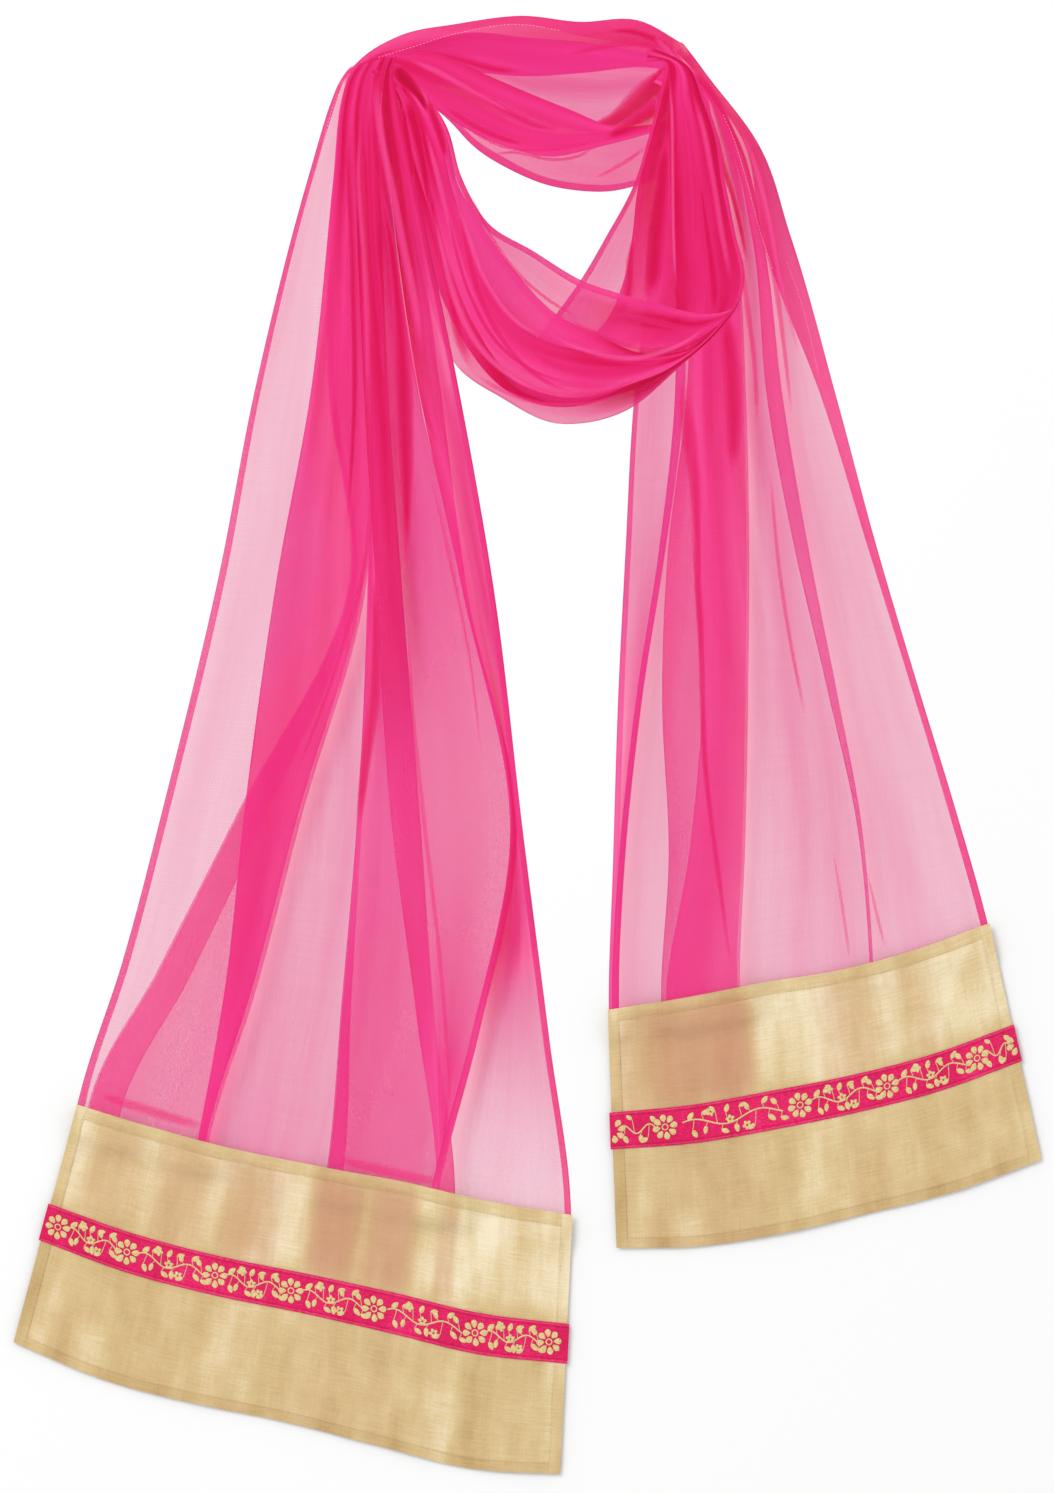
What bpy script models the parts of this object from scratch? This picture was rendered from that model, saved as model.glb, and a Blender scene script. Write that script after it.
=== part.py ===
"""A long sheer dupatta, wound once round a neck opening and laid out flat.

One length of crisp organza makes both tails, the two passes behind the neck and the cowl in
front. A flat panel of gold tissue closes each end, and a woven ribbon runs across each panel.

Plan view: +X to the right, +Y towards the neck, +Z up from the surface that it lies on.
Every stretch is a wall that is folded to and fro across its width. A table gives each fold's
place at a few stations along the stretch, and the strips between the folds are laid down in
turn, each on top of whatever lies under it already.
"""

import bpy
import numpy as np

MM = 0.001

# Thickness of the pieces and of the air between them, mm
CLOTH_WALL = 1.1
BORDER_WALL = 1.2
RIBBON_WALL = 1.0
AIR = 0.9
SEAM_AIR = 0.5

# A strip ends this far short of its fold line, and the turn bulges out to the line, mm
TURN = 1.0
# Least share of a narrow strip that stays flat between its two turns
TURN_SHARE = 0.3

# The middle of the outline before the part is centred on its own origin, mm
PLAN_CENTRE = (0.0, 0.96)

# Sections along each stretch, and facets across each of its strips
TAIL_LEFT_GRID = (19, 3)
TAIL_RIGHT_GRID = (17, 3)
NECK_GRID = (13, 3)
LOOP_FALL_GRID = (13, 3)
COWL_GRID = (19, 3)
PANEL_SECTIONS = 25
BORDER_FACETS = 12
RIBBON_FACETS = 2

# Share of a border's height at which its ribbon starts and ends
LEFT_RIBBON = (0.420, 0.573)
RIGHT_RIBBON = (0.432, 0.586)
# How far a ribbon's ends stand proud of the border's sides, mm
RIBBON_PROUD = 2.0

# The map of heights that the strips are laid on, mm
MAP_HALF = (400.0, 560.0)
MAP_CELL = 2.0

# Stations of the left tail: y at its left and right edge, and how far its middle sags, mm
LEFT_TAIL_STATIONS = (
    ("shoulder", 479.9, 490.0, 0.0),
    ("gather", 465.5, 462.6, 0.0),
    ("bunch", 411.5, 411.5, 0.0),
    ("chest", 260.3, 260.3, 0.0),
    ("waist", 123.5, 112.7, 0.0),
    ("hip", -38.5, -67.3, 0.0),
    ("thigh", -153.7, -211.3, -3.0),
    ("border", -257.4, -335.9, -7.0),
    ("under border", -271.8, -350.3, -7.0),
)

# Folds of the left tail from its outer hem inwards, x at each station, mm
LEFT_TAIL_FOLDS = (
    ("outer hem", -133.6, -140.0, -157.3, -195.5, -222.1, -261.0, -291.2, -324.0, -327.2),
    ("first pleat right", -116.3, -119.2, -120.6, -112.0, -115.9, -162.4, -195.1, -229.3, -232.2),
    ("first pleat left", -126.4, -130.7, -137.9, -142.2, -127.1, -205.6, -263.9, -315.0, -317.5),
    ("first pleat top", -117.5, -120.5, -122.0, -114.0, -118.0, -165.0, -198.0, -231.5, -234.5),
    ("long crease", -127.8, -132.8, -139.3, -155.2, -180.4, -203.4, -217.1, -237.2, -240.0),
    ("inner swing", -104.0, -107.6, -103.3, -79.6, -45.7, -10.4, -37.1, -67.3, -70.0),
    ("second pleat left", -113.4, -116.3, -116.3, -112.7, -114.8, -122.8, -133.9, -144.4, -146.5),
    ("second pleat right", -106.2, -109.8, -109.1, -100.4, -90.4, -76.7, -66.6, -52.2, -52.5),
    ("second pleat top", -117.0, -122.0, -123.5, -117.7, -109.1, -97.6, -79.6, -65.9, -67.0),
    ("inner hem", -97.6, -94.0, -84.6, -50.0, -24.3, -2.5, 15.8, 31.0, 31.0),
)

RIGHT_TAIL_STATIONS = (
    ("shoulder", 487.1, 478.4, 0.0),
    ("gather", 436.7, 436.7, 0.0),
    ("bunch", 368.3, 368.3, 0.0),
    ("chest", 249.5, 249.5, 0.0),
    ("waist", 141.5, 145.1, 0.0),
    ("hip", 33.5, 40.7, 0.0),
    ("thigh", -81.7, -45.7, -4.0),
    ("border", -188.3, -127.1, -8.0),
    ("under border", -202.7, -141.5, -8.0),
)

# Folds of the right tail from its inner hem outwards, x at each station, mm
RIGHT_TAIL_FOLDS = (
    ("inner hem", 106.9, 99.0, 91.8, 76.7, 70.6, 65.2, 61.6, 58.5, 58.8),
    ("inner tuck right", 112.7, 109.8, 112.7, 112.7, 99.4, 82.4, 70.5, 66.0, 66.5),
    ("inner tuck left", 109.1, 103.3, 104.8, 105.9, 94.7, 78.1, 65.7, 61.0, 61.3),
    ("deep pleat right", 125.6, 135.0, 149.4, 157.3, 159.5, 158.8, 156.6, 153.0, 153.5),
    ("deep pleat left", 115.6, 115.6, 117.0, 114.1, 101.2, 96.8, 101.6, 96.1, 96.5),
    ("deep pleat middle", 123.5, 133.0, 147.4, 155.3, 157.5, 156.8, 154.6, 151.0, 151.5),
    ("deep pleat top", 118.4, 119.9, 120.6, 118.4, 121.0, 125.6, 116.3, 99.7, 100.0),
    ("outer tuck right", 128.5, 145.8, 166.7, 186.5, 202.0, 222.8, 240.8, 249.0, 250.0),
    ("outer tuck left", 123.0, 140.0, 158.8, 161.6, 186.8, 210.6, 232.2, 240.8, 242.0),
    ("outer hem", 132.8, 165.2, 190.4, 222.8, 250.9, 281.9, 308.2, 331.0, 334.6),
)

# Upper pass behind the neck, left shoulder to right, (x, y) of each fold at each station, mm
NECK_UPPER_FOLDS = (
    ("top hem", (-131.4, 484.2), (-94.0, 510.1), (-50.8, 520.2), (-5.4, 526.0), (37.8, 521.6),
     (81.0, 520.9), (112.7, 506.5)),
    ("roll bottom", (-126.4, 479.9), (-86.0, 492.8), (-34.2, 484.9), (1.8, 482.0), (45.0, 485.6),
     (81.0, 489.2), (104.0, 490.0)),
    ("roll top", (-129.2, 482.0), (-91.8, 500.0), (-52.2, 510.1), (-8.3, 515.9), (36.4, 510.8),
     (81.0, 505.1), (106.9, 495.7)),
    ("lower edge", (-121.5, 474.1), (-77.4, 476.3), (-23.4, 466.9), (12.6, 452.5), (52.2, 448.2),
     (86.8, 459.7), (101.0, 477.0)),
)

# Lower pass behind the neck, left shoulder to right
NECK_LOWER_FOLDS = (
    ("band top", (-103.3, 494.3), (-65.9, 498.6), (-31.3, 484.2), (3.2, 469.1), (36.4, 455.4),
     (68.0, 456.8), (98.3, 471.2)),
    ("band bottom", (-100.4, 487.0), (-74.5, 477.0), (-40.0, 462.6), (-5.4, 446.8), (32.0, 439.6),
     (65.2, 441.7), (96.8, 448.2)),
    ("band back", (-101.9, 492.0), (-67.3, 494.3), (-32.8, 479.9), (1.8, 464.8), (35.6, 451.1),
     (67.3, 452.5), (98.3, 467.6)),
    ("bottom hem", (-93.2, 478.4), (-59.4, 452.5), (-38.5, 430.9), (1.8, 409.3), (37.8, 399.2),
     (66.6, 400.0), (88.2, 416.5)),
)

# Inner half of the loop, from the right shoulder down behind the cowl
LOOP_FALL_FOLDS = (
    ("left hem", (97.6, 485.6), (89.6, 445.3), (76.0, 402.8), (58.0, 369.0), (37.8, 335.2),
     (17.6, 305.6), (-6.0, 262.7)),
    ("front fold right", (111.2, 487.1), (119.2, 443.9), (128.5, 402.8), (132.1, 366.1),
     (129.2, 327.2), (112.7, 296.3), (88.2, 265.0)),
    ("front fold left", (100.4, 485.6), (101.9, 445.3), (102.6, 402.8), (104.0, 366.1),
     (105.5, 331.6), (88.2, 296.3), (60.8, 259.2)),
    ("right fold", (115.6, 488.5), (129.6, 452.5), (140.0, 416.5), (149.4, 368.3), (153.2, 328.7),
     (135.7, 301.0), (112.0, 280.8)),
)

# Cowl, from the left shoulder round to its turn below the right shoulder
COWL_FOLDS = (
    ("upper hem", (-77.4, 477.0), (-54.4, 435.2), (-44.3, 400.7), (-22.7, 373.3), (4.0, 356.8),
     (37.8, 335.9), (81.0, 321.5), (124.2, 311.4), (153.0, 321.5)),
    ("band bottom", (-81.7, 474.1), (-64.4, 429.5), (-54.4, 389.9), (-35.6, 348.8),
     (-11.2, 317.9), (32.0, 299.9), (70.2, 286.9), (104.0, 280.4), (140.0, 299.9)),
    ("band back", (-79.6, 475.6), (-60.1, 431.6), (-50.0, 393.5), (-29.9, 358.9), (-4.7, 333.7),
     (34.9, 312.8), (76.0, 299.9), (112.7, 292.7), (145.8, 308.5)),
    ("swag bottom", (-88.9, 478.4), (-77.4, 422.3), (-67.3, 375.5), (-51.5, 327.2),
     (-25.6, 285.5), (20.5, 253.8), (63.7, 256.7), (103.2, 273.4), (139.2, 299.0)),
    ("swag back", (-86.0, 475.6), (-71.6, 425.2), (-60.8, 382.7), (-43.6, 337.3), (-18.4, 301.3),
     (26.3, 278.3), (66.6, 274.0), (108.9, 282.3), (143.9, 305.4)),
    ("lower edge", (-96.1, 482.8), (-88.9, 415.1), (-78.8, 357.5), (-63.0, 296.3), (-32.0, 259.6),
     (13.3, 234.4), (60.8, 238.0), (101.2, 263.9), (135.7, 295.6)),
)

# Gold panels, (x, y) along the seam and along the bottom edge, mm
LEFT_BORDER_EDGES = (
    ("seam", (-324.1, -257.5), (-264.7, -275.4), (-205.3, -290.9), (-145.9, -302.7),
     (-86.5, -313.6), (-27.1, -327.2), (32.3, -337.2)),
    ("bottom", (-370.0, -428.8), (-304.4, -456.1), (-238.9, -473.0), (-173.3, -486.4),
     (-107.7, -503.3), (-42.2, -519.5), (23.4, -523.8)),
)
RIGHT_BORDER_EDGES = (
    ("seam", (57.7, -189.4), (112.7, -180.7), (167.6, -170.1), (222.6, -161.3), (277.6, -146.7),
     (332.5, -127.1)),
    ("bottom", (64.1, -360.9), (125.2, -359.6), (186.3, -349.9), (247.5, -335.5),
     (308.6, -320.0), (370.0, -297.4)),
)

# sRGB colours, roughness and metallic of the cloths
PINK_ORGANZA = ((0.93, 0.24, 0.52), 0.55, 0.0)
GOLD_TISSUE = ((0.86, 0.76, 0.55), 0.42, 0.35)
CRIMSON_RIBBON = ((0.85, 0.06, 0.33), 0.50, 0.0)


def clear_scene():
    for old in list(bpy.data.objects):
        bpy.data.objects.remove(old, do_unlink=True)


def linear(channel):
    """Turn one sRGB channel into a linear one."""
    if channel <= 0.04045:
        return channel / 12.92
    return ((channel + 0.055) / 1.055) ** 2.4


def make_material(name, finish):
    colour, roughness, metallic = finish
    material = bpy.data.materials.new(name)
    material.use_nodes = True
    shader = material.node_tree.nodes["Principled BSDF"]
    shader.inputs["Base Color"].default_value = [linear(part) for part in colour] + [1.0]
    shader.inputs["Roughness"].default_value = roughness
    shader.inputs["Metallic"].default_value = metallic
    return material


def smooth_lines(rows, count):
    """Carry each row's points on a smooth curve to `count` sections, evenly spaced.

    A cubic runs between neighbouring stations. Its slope at a station is the mean of the
    slopes on either side, weighted towards the nearer neighbour, and all rows share the same
    spacing, so that the sections stay straight lines across the cloth.
    """
    points = np.array(rows, dtype=float)
    steps = np.linalg.norm(np.diff(points, axis=1), axis=2).mean(axis=0)
    marks = np.concatenate(([0.0], np.cumsum(steps)))
    slopes = np.diff(points, axis=1) / steps[None, :, None]
    tangents = np.empty_like(points)
    before, after = steps[:-1, None], steps[1:, None]
    tangents[:, 1:-1] = (slopes[:, 1:] * before + slopes[:, :-1] * after) / (before + after)
    tangents[:, 0] = slopes[:, 0]
    tangents[:, -1] = slopes[:, -1]
    wanted = np.linspace(0.0, marks[-1], count)
    index = np.clip(np.searchsorted(marks, wanted, side="right") - 1, 0, len(steps) - 1)
    length = steps[index]
    t = ((wanted - marks[index]) / length)[None, :, None]
    length = length[None, :, None]
    start, end = points[:, index], points[:, index + 1]
    start_slope, end_slope = tangents[:, index] * length, tangents[:, index + 1] * length
    return ((2 * t**3 - 3 * t**2 + 1) * start + (t**3 - 2 * t**2 + t) * start_slope
            + (3 * t**2 - 2 * t**3) * end + (t**3 - t**2) * end_slope)


def tail_rows(stations, folds):
    """Give each fold of a tail its (x, y) points, from its x and the slant of each station."""
    left_y, right_y, sag = np.array([row[1:] for row in stations]).T
    x = np.array([row[1:] for row in folds])
    share = (x - x[0]) / (x[-1] - x[0])
    y = left_y + (right_y - left_y) * share + sag * 4 * share * (1 - share)
    return np.stack([x, y], axis=2)


def plain_rows(folds):
    return np.array([row[1:] for row in folds])


class HeightMap:
    """How high the cloth laid so far stands above the surface, cell by cell."""

    def __init__(self):
        self.columns = int(2 * MAP_HALF[0] / MAP_CELL)
        self.rows = int(2 * MAP_HALF[1] / MAP_CELL)
        self.top = np.zeros((self.rows, self.columns))

    def cells(self, x, y):
        column = ((x + MAP_HALF[0]) / MAP_CELL).astype(int)
        row = ((y + MAP_HALF[1]) / MAP_CELL).astype(int)
        return row, column

    def highest(self, x, y):
        return self.top[self.cells(x, y)]

    def add(self, x, y, height):
        """Raise the cells under these points, and those next to them."""
        fresh = np.zeros_like(self.top)
        np.maximum.at(fresh, self.cells(x.ravel(), y.ravel()), height.ravel())
        for axis in (0, 1):
            spread = fresh.copy()
            for shift in (-1, 1):
                spread = np.maximum(spread, np.roll(fresh, shift, axis))
            fresh = spread
        self.top = np.maximum(self.top, fresh)


def facet_samples(plan, spacing):
    """Points spread over every facet of a grid: their shares of the facet and their places."""
    sides = (np.linalg.norm(np.diff(plan, axis=0), axis=2).max(),
             np.linalg.norm(np.diff(plan, axis=1), axis=2).max())
    u = np.linspace(0.0, 1.0, int(sides[0] / spacing) + 2)[:, None]
    v = np.linspace(0.0, 1.0, int(sides[1] / spacing) + 2)[None, :]
    corners = [plan[:-1, :-1], plan[1:, :-1], plan[:-1, 1:], plan[1:, 1:]]
    a, b, c, d = [corner[:, :, None, None, :] for corner in corners]
    u4, v4 = u[None, None, :, :, None], v[None, None, :, :, None]
    places = a * (1 - u4) * (1 - v4) + b * u4 * (1 - v4) + c * (1 - u4) * v4 + d * u4 * v4
    return u[None, None], v[None, None], places


def settle(heights, plan, wall, air):
    """Height of a strip's middle at each grid point, laid on what is under its facets.

    Each corner rides over the highest thing under the facets that meet there, so a facet
    clears everything below it.
    """
    _, _, places = facet_samples(plan, MAP_CELL / 2)
    under = heights.highest(places[..., 0], places[..., 1]).max(axis=(2, 3))
    padded = np.zeros((plan.shape[0] + 1, plan.shape[1] + 1))
    padded[1:-1, 1:-1] = under
    corner = np.maximum.reduce([padded[:-1, :-1], padded[1:, :-1], padded[:-1, 1:], padded[1:, 1:]])
    return np.where(corner > 0, corner + air, 0.0) + wall / 2


def raise_map(heights, plan, middle, wall):
    """Enter a laid strip in the map, at the higher of its facets' two possible diagonals."""
    u, v, places = facet_samples(plan, MAP_CELL / 2)
    a, b, c, d = [corner[:, :, None, None] for corner in
                  (middle[:-1, :-1], middle[1:, :-1], middle[:-1, 1:], middle[1:, 1:])]
    rising = np.where(u > v, a + u * (b - a) + v * (d - b), a + v * (c - a) + u * (d - c))
    falling = np.where(u + v < 1, a + u * (b - a) + v * (c - a),
                       d + (1 - u) * (c - d) + (1 - v) * (b - d))
    heights.add(places[..., 0], places[..., 1], np.maximum(rising, falling) + wall / 2)


def strip_plan(line, following, facets, inset_start, inset_end):
    """Grid of plan points across one strip, stopping short of the folds at its edges."""
    across = following - line
    width = np.linalg.norm(across, axis=1)
    inset = np.minimum(TURN / width, TURN_SHARE)
    low = inset if inset_start else np.zeros_like(inset)
    high = 1 - inset if inset_end else np.ones_like(inset)
    share = low[:, None] + (high - low)[:, None] * np.linspace(0.0, 1.0, facets + 1)
    return line[:, None, :] + across[:, None, :] * share[:, :, None], across / width[:, None]


def lay_stretch(heights, lines, facets, wall, air):
    """Lay the strips of one stretch in turn and join them at their folds.

    Returns the middle of the wall, and for each of its points the direction to one face:
    down from a strip that runs outwards, up from one that runs back, and outwards at a fold.
    """
    middle, facing = [], []
    last = len(lines) - 2
    down = np.array([0.0, 0.0, -1.0])
    for index in range(last + 1):
        plan, direction = strip_plan(lines[index], lines[index + 1], facets, index > 0,
                                     index < last)
        height = settle(heights, plan, wall, air)
        raise_map(heights, plan, height, wall)
        strip = np.concatenate([plan, height[:, :, None]], axis=2)
        outwards = 1.0 if index % 2 == 0 else -1.0
        if index > 0:
            fold = np.concatenate([lines[index], (middle[-1][:, -1:, 2] + height[:, :1]) / 2], axis=1)
            middle.append(fold[:, None, :])
            sideways = np.concatenate([direction * outwards, np.zeros((len(direction), 1))], axis=1)
            facing.append(sideways[:, None, :])
        middle.append(strip)
        facing.append(np.broadcast_to(down * outwards, strip.shape))
    return np.concatenate(middle, axis=1), np.concatenate(facing, axis=1)


def wall_mesh(name, middle, facing, wall):
    """Close a wall round its middle surface: two faces, two long edges and two ends."""
    sections, across = middle.shape[:2]
    one = middle + facing * wall / 2
    other = middle - facing * wall / 2
    points = np.concatenate([one.reshape(-1, 3), other.reshape(-1, 3)])
    points[:, :2] -= PLAN_CENTRE
    grid = np.arange(sections * across).reshape(sections, across)
    back = grid + sections * across

    def quads(a, b, c, d):
        return np.stack([part.ravel() for part in (a, b, c, d)], axis=1)

    faces = np.concatenate([
        quads(grid[:-1, :-1], grid[1:, :-1], grid[1:, 1:], grid[:-1, 1:]),
        quads(back[:-1, :-1], back[:-1, 1:], back[1:, 1:], back[1:, :-1]),
        quads(grid[:-1, 0], back[:-1, 0], back[1:, 0], grid[1:, 0]),
        quads(grid[:-1, -1], grid[1:, -1], back[1:, -1], back[:-1, -1]),
        quads(grid[0, :-1], grid[0, 1:], back[0, 1:], back[0, :-1]),
        quads(grid[-1, :-1], back[-1, :-1], back[-1, 1:], grid[-1, 1:]),
    ])
    a, b, c, d = [points[faces[:, corner]] for corner in range(4)]
    volume = (np.einsum("ij,ij->i", a, np.cross(b, c)) + np.einsum("ij,ij->i", a, np.cross(c, d))).sum()
    if volume < 0:
        faces = faces[:, ::-1]
    mesh = bpy.data.meshes.new(name)
    mesh.from_pydata((points * MM).tolist(), [], faces.tolist())
    mesh.validate()
    mesh.update()
    return mesh


def add_piece(name, mesh, material):
    mesh.materials.append(material)
    piece = bpy.data.objects.new(name, mesh)
    bpy.context.scene.collection.objects.link(piece)
    return piece


def add_cloth(name, heights, rows, grid, material):
    """One stretch of the body cloth, as a folded wall."""
    sections, facets = grid
    lines = smooth_lines(rows, sections)
    middle, facing = lay_stretch(heights, lines, facets, CLOTH_WALL, AIR)
    add_piece(name, wall_mesh(name, middle, facing, CLOTH_WALL), material)


def panel_lines(edges, start, end, proud):
    """Two lines across a border at shares of its height, drawn out past its sides."""
    seam, bottom = smooth_lines(plain_rows(edges), PANEL_SECTIONS)
    lines = [seam + (bottom - seam) * share for share in (start, end)]
    for line in lines:
        line[0] += (line[0] - line[1]) / np.linalg.norm(line[0] - line[1]) * proud
        line[-1] += (line[-1] - line[-2]) / np.linalg.norm(line[-1] - line[-2]) * proud
    return np.array(lines)


def add_panel(name, heights, lines, facets, wall, material):
    """A flat piece laid on what is there already: a border or its ribbon."""
    middle, facing = lay_stretch(heights, lines, facets, wall, SEAM_AIR)
    add_piece(name, wall_mesh(name, middle, facing, wall), material)


def build():
    clear_scene()
    organza = make_material("pink_organza", PINK_ORGANZA)
    tissue = make_material("gold_tissue", GOLD_TISSUE)
    ribbon = make_material("crimson_ribbon", CRIMSON_RIBBON)
    heights = HeightMap()

    add_cloth("neck_back_upper", heights, plain_rows(NECK_UPPER_FOLDS), NECK_GRID, organza)
    add_cloth("neck_back_lower", heights, plain_rows(NECK_LOWER_FOLDS), NECK_GRID, organza)
    add_cloth("tail_right", heights, tail_rows(RIGHT_TAIL_STATIONS, RIGHT_TAIL_FOLDS),
              TAIL_RIGHT_GRID, organza)
    add_cloth("loop_fall", heights, plain_rows(LOOP_FALL_FOLDS), LOOP_FALL_GRID, organza)
    add_cloth("cowl_front", heights, plain_rows(COWL_FOLDS), COWL_GRID, organza)
    add_cloth("tail_left", heights, tail_rows(LEFT_TAIL_STATIONS, LEFT_TAIL_FOLDS),
              TAIL_LEFT_GRID, organza)

    for side, edges, band in (("left", LEFT_BORDER_EDGES, LEFT_RIBBON),
                              ("right", RIGHT_BORDER_EDGES, RIGHT_RIBBON)):
        add_panel("border_" + side, heights, panel_lines(edges, 0.0, 1.0, 0.0), BORDER_FACETS,
                  BORDER_WALL, tissue)
        add_panel("ribbon_" + side, heights, panel_lines(edges, band[0], band[1], RIBBON_PROUD),
                  RIBBON_FACETS, RIBBON_WALL, ribbon)


build()
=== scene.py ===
"""A sheer organza dupatta, laid flat, wound once round its neck opening.

Places on the cloth are read off a chart with CHART_MM squares. Its x runs to the right and its y
runs down, both from the chart's top left corner. Each stretch of the cloth is folded to and fro
across its width, and its strips are laid down in turn on a heap of what lies there already.
"""

import math
from collections import namedtuple

import bpy
import numpy as np
from bpy.props import FloatProperty, PointerProperty, StringProperty
from bpy.types import Operator, Panel, PropertyGroup
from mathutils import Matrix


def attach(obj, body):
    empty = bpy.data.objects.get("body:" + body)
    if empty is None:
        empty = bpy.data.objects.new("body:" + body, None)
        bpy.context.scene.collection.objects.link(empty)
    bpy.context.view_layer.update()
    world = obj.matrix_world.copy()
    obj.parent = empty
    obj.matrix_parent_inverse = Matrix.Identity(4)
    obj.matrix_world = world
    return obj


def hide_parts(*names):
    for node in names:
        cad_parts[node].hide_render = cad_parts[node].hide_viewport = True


bl_info = {
    "name": "Organza Dupatta",
    "version": (1, 0, 0),
    "blender": (4, 5, 0),
    "location": "View3D > Sidebar > Dupatta",
    "description": "Lays out a sheer organza dupatta with gold tissue ends and a floral ribbon",
    "category": "Add Mesh",
}

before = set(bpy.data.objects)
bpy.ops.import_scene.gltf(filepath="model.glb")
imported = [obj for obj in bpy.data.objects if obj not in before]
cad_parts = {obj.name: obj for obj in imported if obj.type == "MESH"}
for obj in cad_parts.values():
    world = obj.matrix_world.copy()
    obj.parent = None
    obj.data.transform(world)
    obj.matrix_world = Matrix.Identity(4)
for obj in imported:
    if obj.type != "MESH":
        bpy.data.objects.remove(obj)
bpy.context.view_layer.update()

MM = 0.001

# The chart: mm to a square, its middle and its whole size in squares, and where the middle lies
CHART_MM = 0.72
CHART_MIDDLE = (527.5, 746.5)
CENTRE_SHIFT_MM = (0.0, 0.96)
PHOTO_FRAME = (1054, 1493)

# Stations down the left tail: y at its left and its right edge, and how far its middle sags
LEFT_TAIL_STATIONS = (
    ("pass", 66, 50, 0),
    ("shoulder", 82, 72, 0),
    ("gather", 100, 104, 0),
    ("bunch", 175, 175, 0),
    ("chest", 385, 385, 0),
    ("waist", 575, 590, 0),
    ("hip", 800, 840, 0),
    ("thigh", 960, 1040, 4),
    ("seam", 1104, 1213, 10),
    ("under border", 1124, 1233, 10),
)

# Folds of the left tail: x at each station
LEFT_TAIL_FOLDS = (
    ("outer hem turned", 354, 344, 337, 314, 262, 226, 172, 130, 85, 81),
    ("outer edge", 351, 340, 332, 309, 256, 219, 165, 123, 77.5, 73),
    ("first pleat right", 374, 365, 361, 360, 372, 366.5, 302, 256.5, 209, 205),
    ("first pleat left", 360, 350, 345, 336, 330, 351, 242, 161, 90, 86.5),
    ("first pleat tuck", 362, 353, 349, 340, 335, 356, 268, 191, 120, 116.5),
    ("first pleat under", 359, 349, 344, 334.5, 328.5, 349.5, 240, 159, 88.5, 85),
    ("first pleat top", 372, 363, 359, 358, 369, 363.5, 298, 252.5, 206, 202),
    ("long crease", 359, 348, 342, 334, 312, 277, 245, 226, 198, 194),
    ("inner swing", 392, 385, 381, 388, 417, 464, 513, 476, 434, 430),
    ("second pleat left", 378, 369, 365, 366, 371, 368, 357, 341.5, 327, 324),
    ("second pleat tuck", 381, 372, 368.5, 370, 375, 373, 362, 351, 343, 340),
    ("second pleat under", 379, 370, 366, 367, 372, 369.5, 358.5, 343, 328.5, 325.5),
    ("second pleat right", 388, 380, 376, 380, 388, 402, 421, 435, 455, 454.6),
    ("second pleat top", 373, 364, 358, 357, 364, 376, 392, 417, 436, 434.5),
    ("inner tuck right", 398, 392, 396, 410, 440, 467, 517, 480, 438, 434),
    ("inner tuck left", 393, 386, 382, 389, 418, 462, 510, 473, 431, 427),
    ("inner edge", 400, 394, 399, 414, 458, 494, 524, 549.5, 571, 571),
    ("inner hem turned", 398, 391, 395.5, 409.5, 452.5, 488, 518, 543, 564.5, 564.5),
)

# How dense each strip is at its first and its second fold, in layers of the bare cloth, how much
# denser it gets where it narrows, and the share of it that is left at the stretch's far end
LEFT_TAIL_DENSITY = (
    (2.4, 2.4, 0.2, 1), (1.1, 0.95, 0.15, 1), (0.6, 0.6, 0.2, 1), (0.7, 0.7, 0.5, 1), (0.7, 0.7, 0.5, 1),
    (0.6, 0.6, 0.2, 1), (1.3, 1.3, 0.5, 1), (2.1, 1.0, 0.3, 1), (0.7, 0.7, 0.9, 1), (1.0, 1.0, 0.5, 1),
    (1.3, 1.3, 0.6, 1), (0.85, 0.85, 0.9, 1), (1.0, 1.0, 0.9, 1), (0.75, 0.6, 1.6, 1), (1.8, 1.6, 0.6, 0.5),
    (0.85, 0.8, 1.3, 1), (2.6, 2.6, 0.2, 1),
)

# The same three tables for the right tail
RIGHT_TAIL_STATIONS = (
    ("pass", 80, 41, 0),
    ("shoulder", 92, 76, 0),
    ("gather", 140, 140, 0),
    ("bunch", 235, 235, 0),
    ("chest", 400, 400, 0),
    ("waist", 550, 545, 0),
    ("hip", 700, 690, 0),
    ("thigh", 860, 810, 5.5),
    ("seam", 1008, 923, 11),
    ("under border", 1028, 943, 11),
)

RIGHT_TAIL_FOLDS = (
    ("inner hem turned", 652, 670, 668, 659, 639, 631, 624, 619, 614.5, 615),
    ("inner edge", 650, 667, 665, 655, 634, 625.5, 618, 613, 608.7, 609),
    ("inner tuck right", 654, 680, 680, 684, 684, 665.5, 642, 625, 619, 619.5),
    ("inner tuck left", 652, 673, 671, 673, 674.6, 659, 636, 618.8, 612, 612.5),
    ("deep pleat right", 663, 697, 715, 735, 746, 749, 748, 745, 740, 740.7),
    ("deep pleat left", 656, 682, 688, 690, 686, 668, 662, 668.6, 661, 661.5),
    ("deep pleat middle", 661, 694, 712, 732, 743, 746, 745, 742, 737, 738),
    ("deep pleat top", 658, 686, 694, 695, 692, 695.6, 702, 689, 666, 666.4),
    ("outer tuck right", 665, 700, 738, 762, 783, 808, 837, 862, 873, 874),
    ("outer tuck left", 660, 692, 727, 751, 767, 794, 828, 857.5, 869.5, 870.5),
    ("outer edge", 681, 706, 755, 790, 837, 876, 919, 955.6, 987.5, 992.5),
    ("outer hem turned", 674, 698, 741, 760, 822, 867, 912, 948.5, 980.5, 985.5),
)

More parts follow.
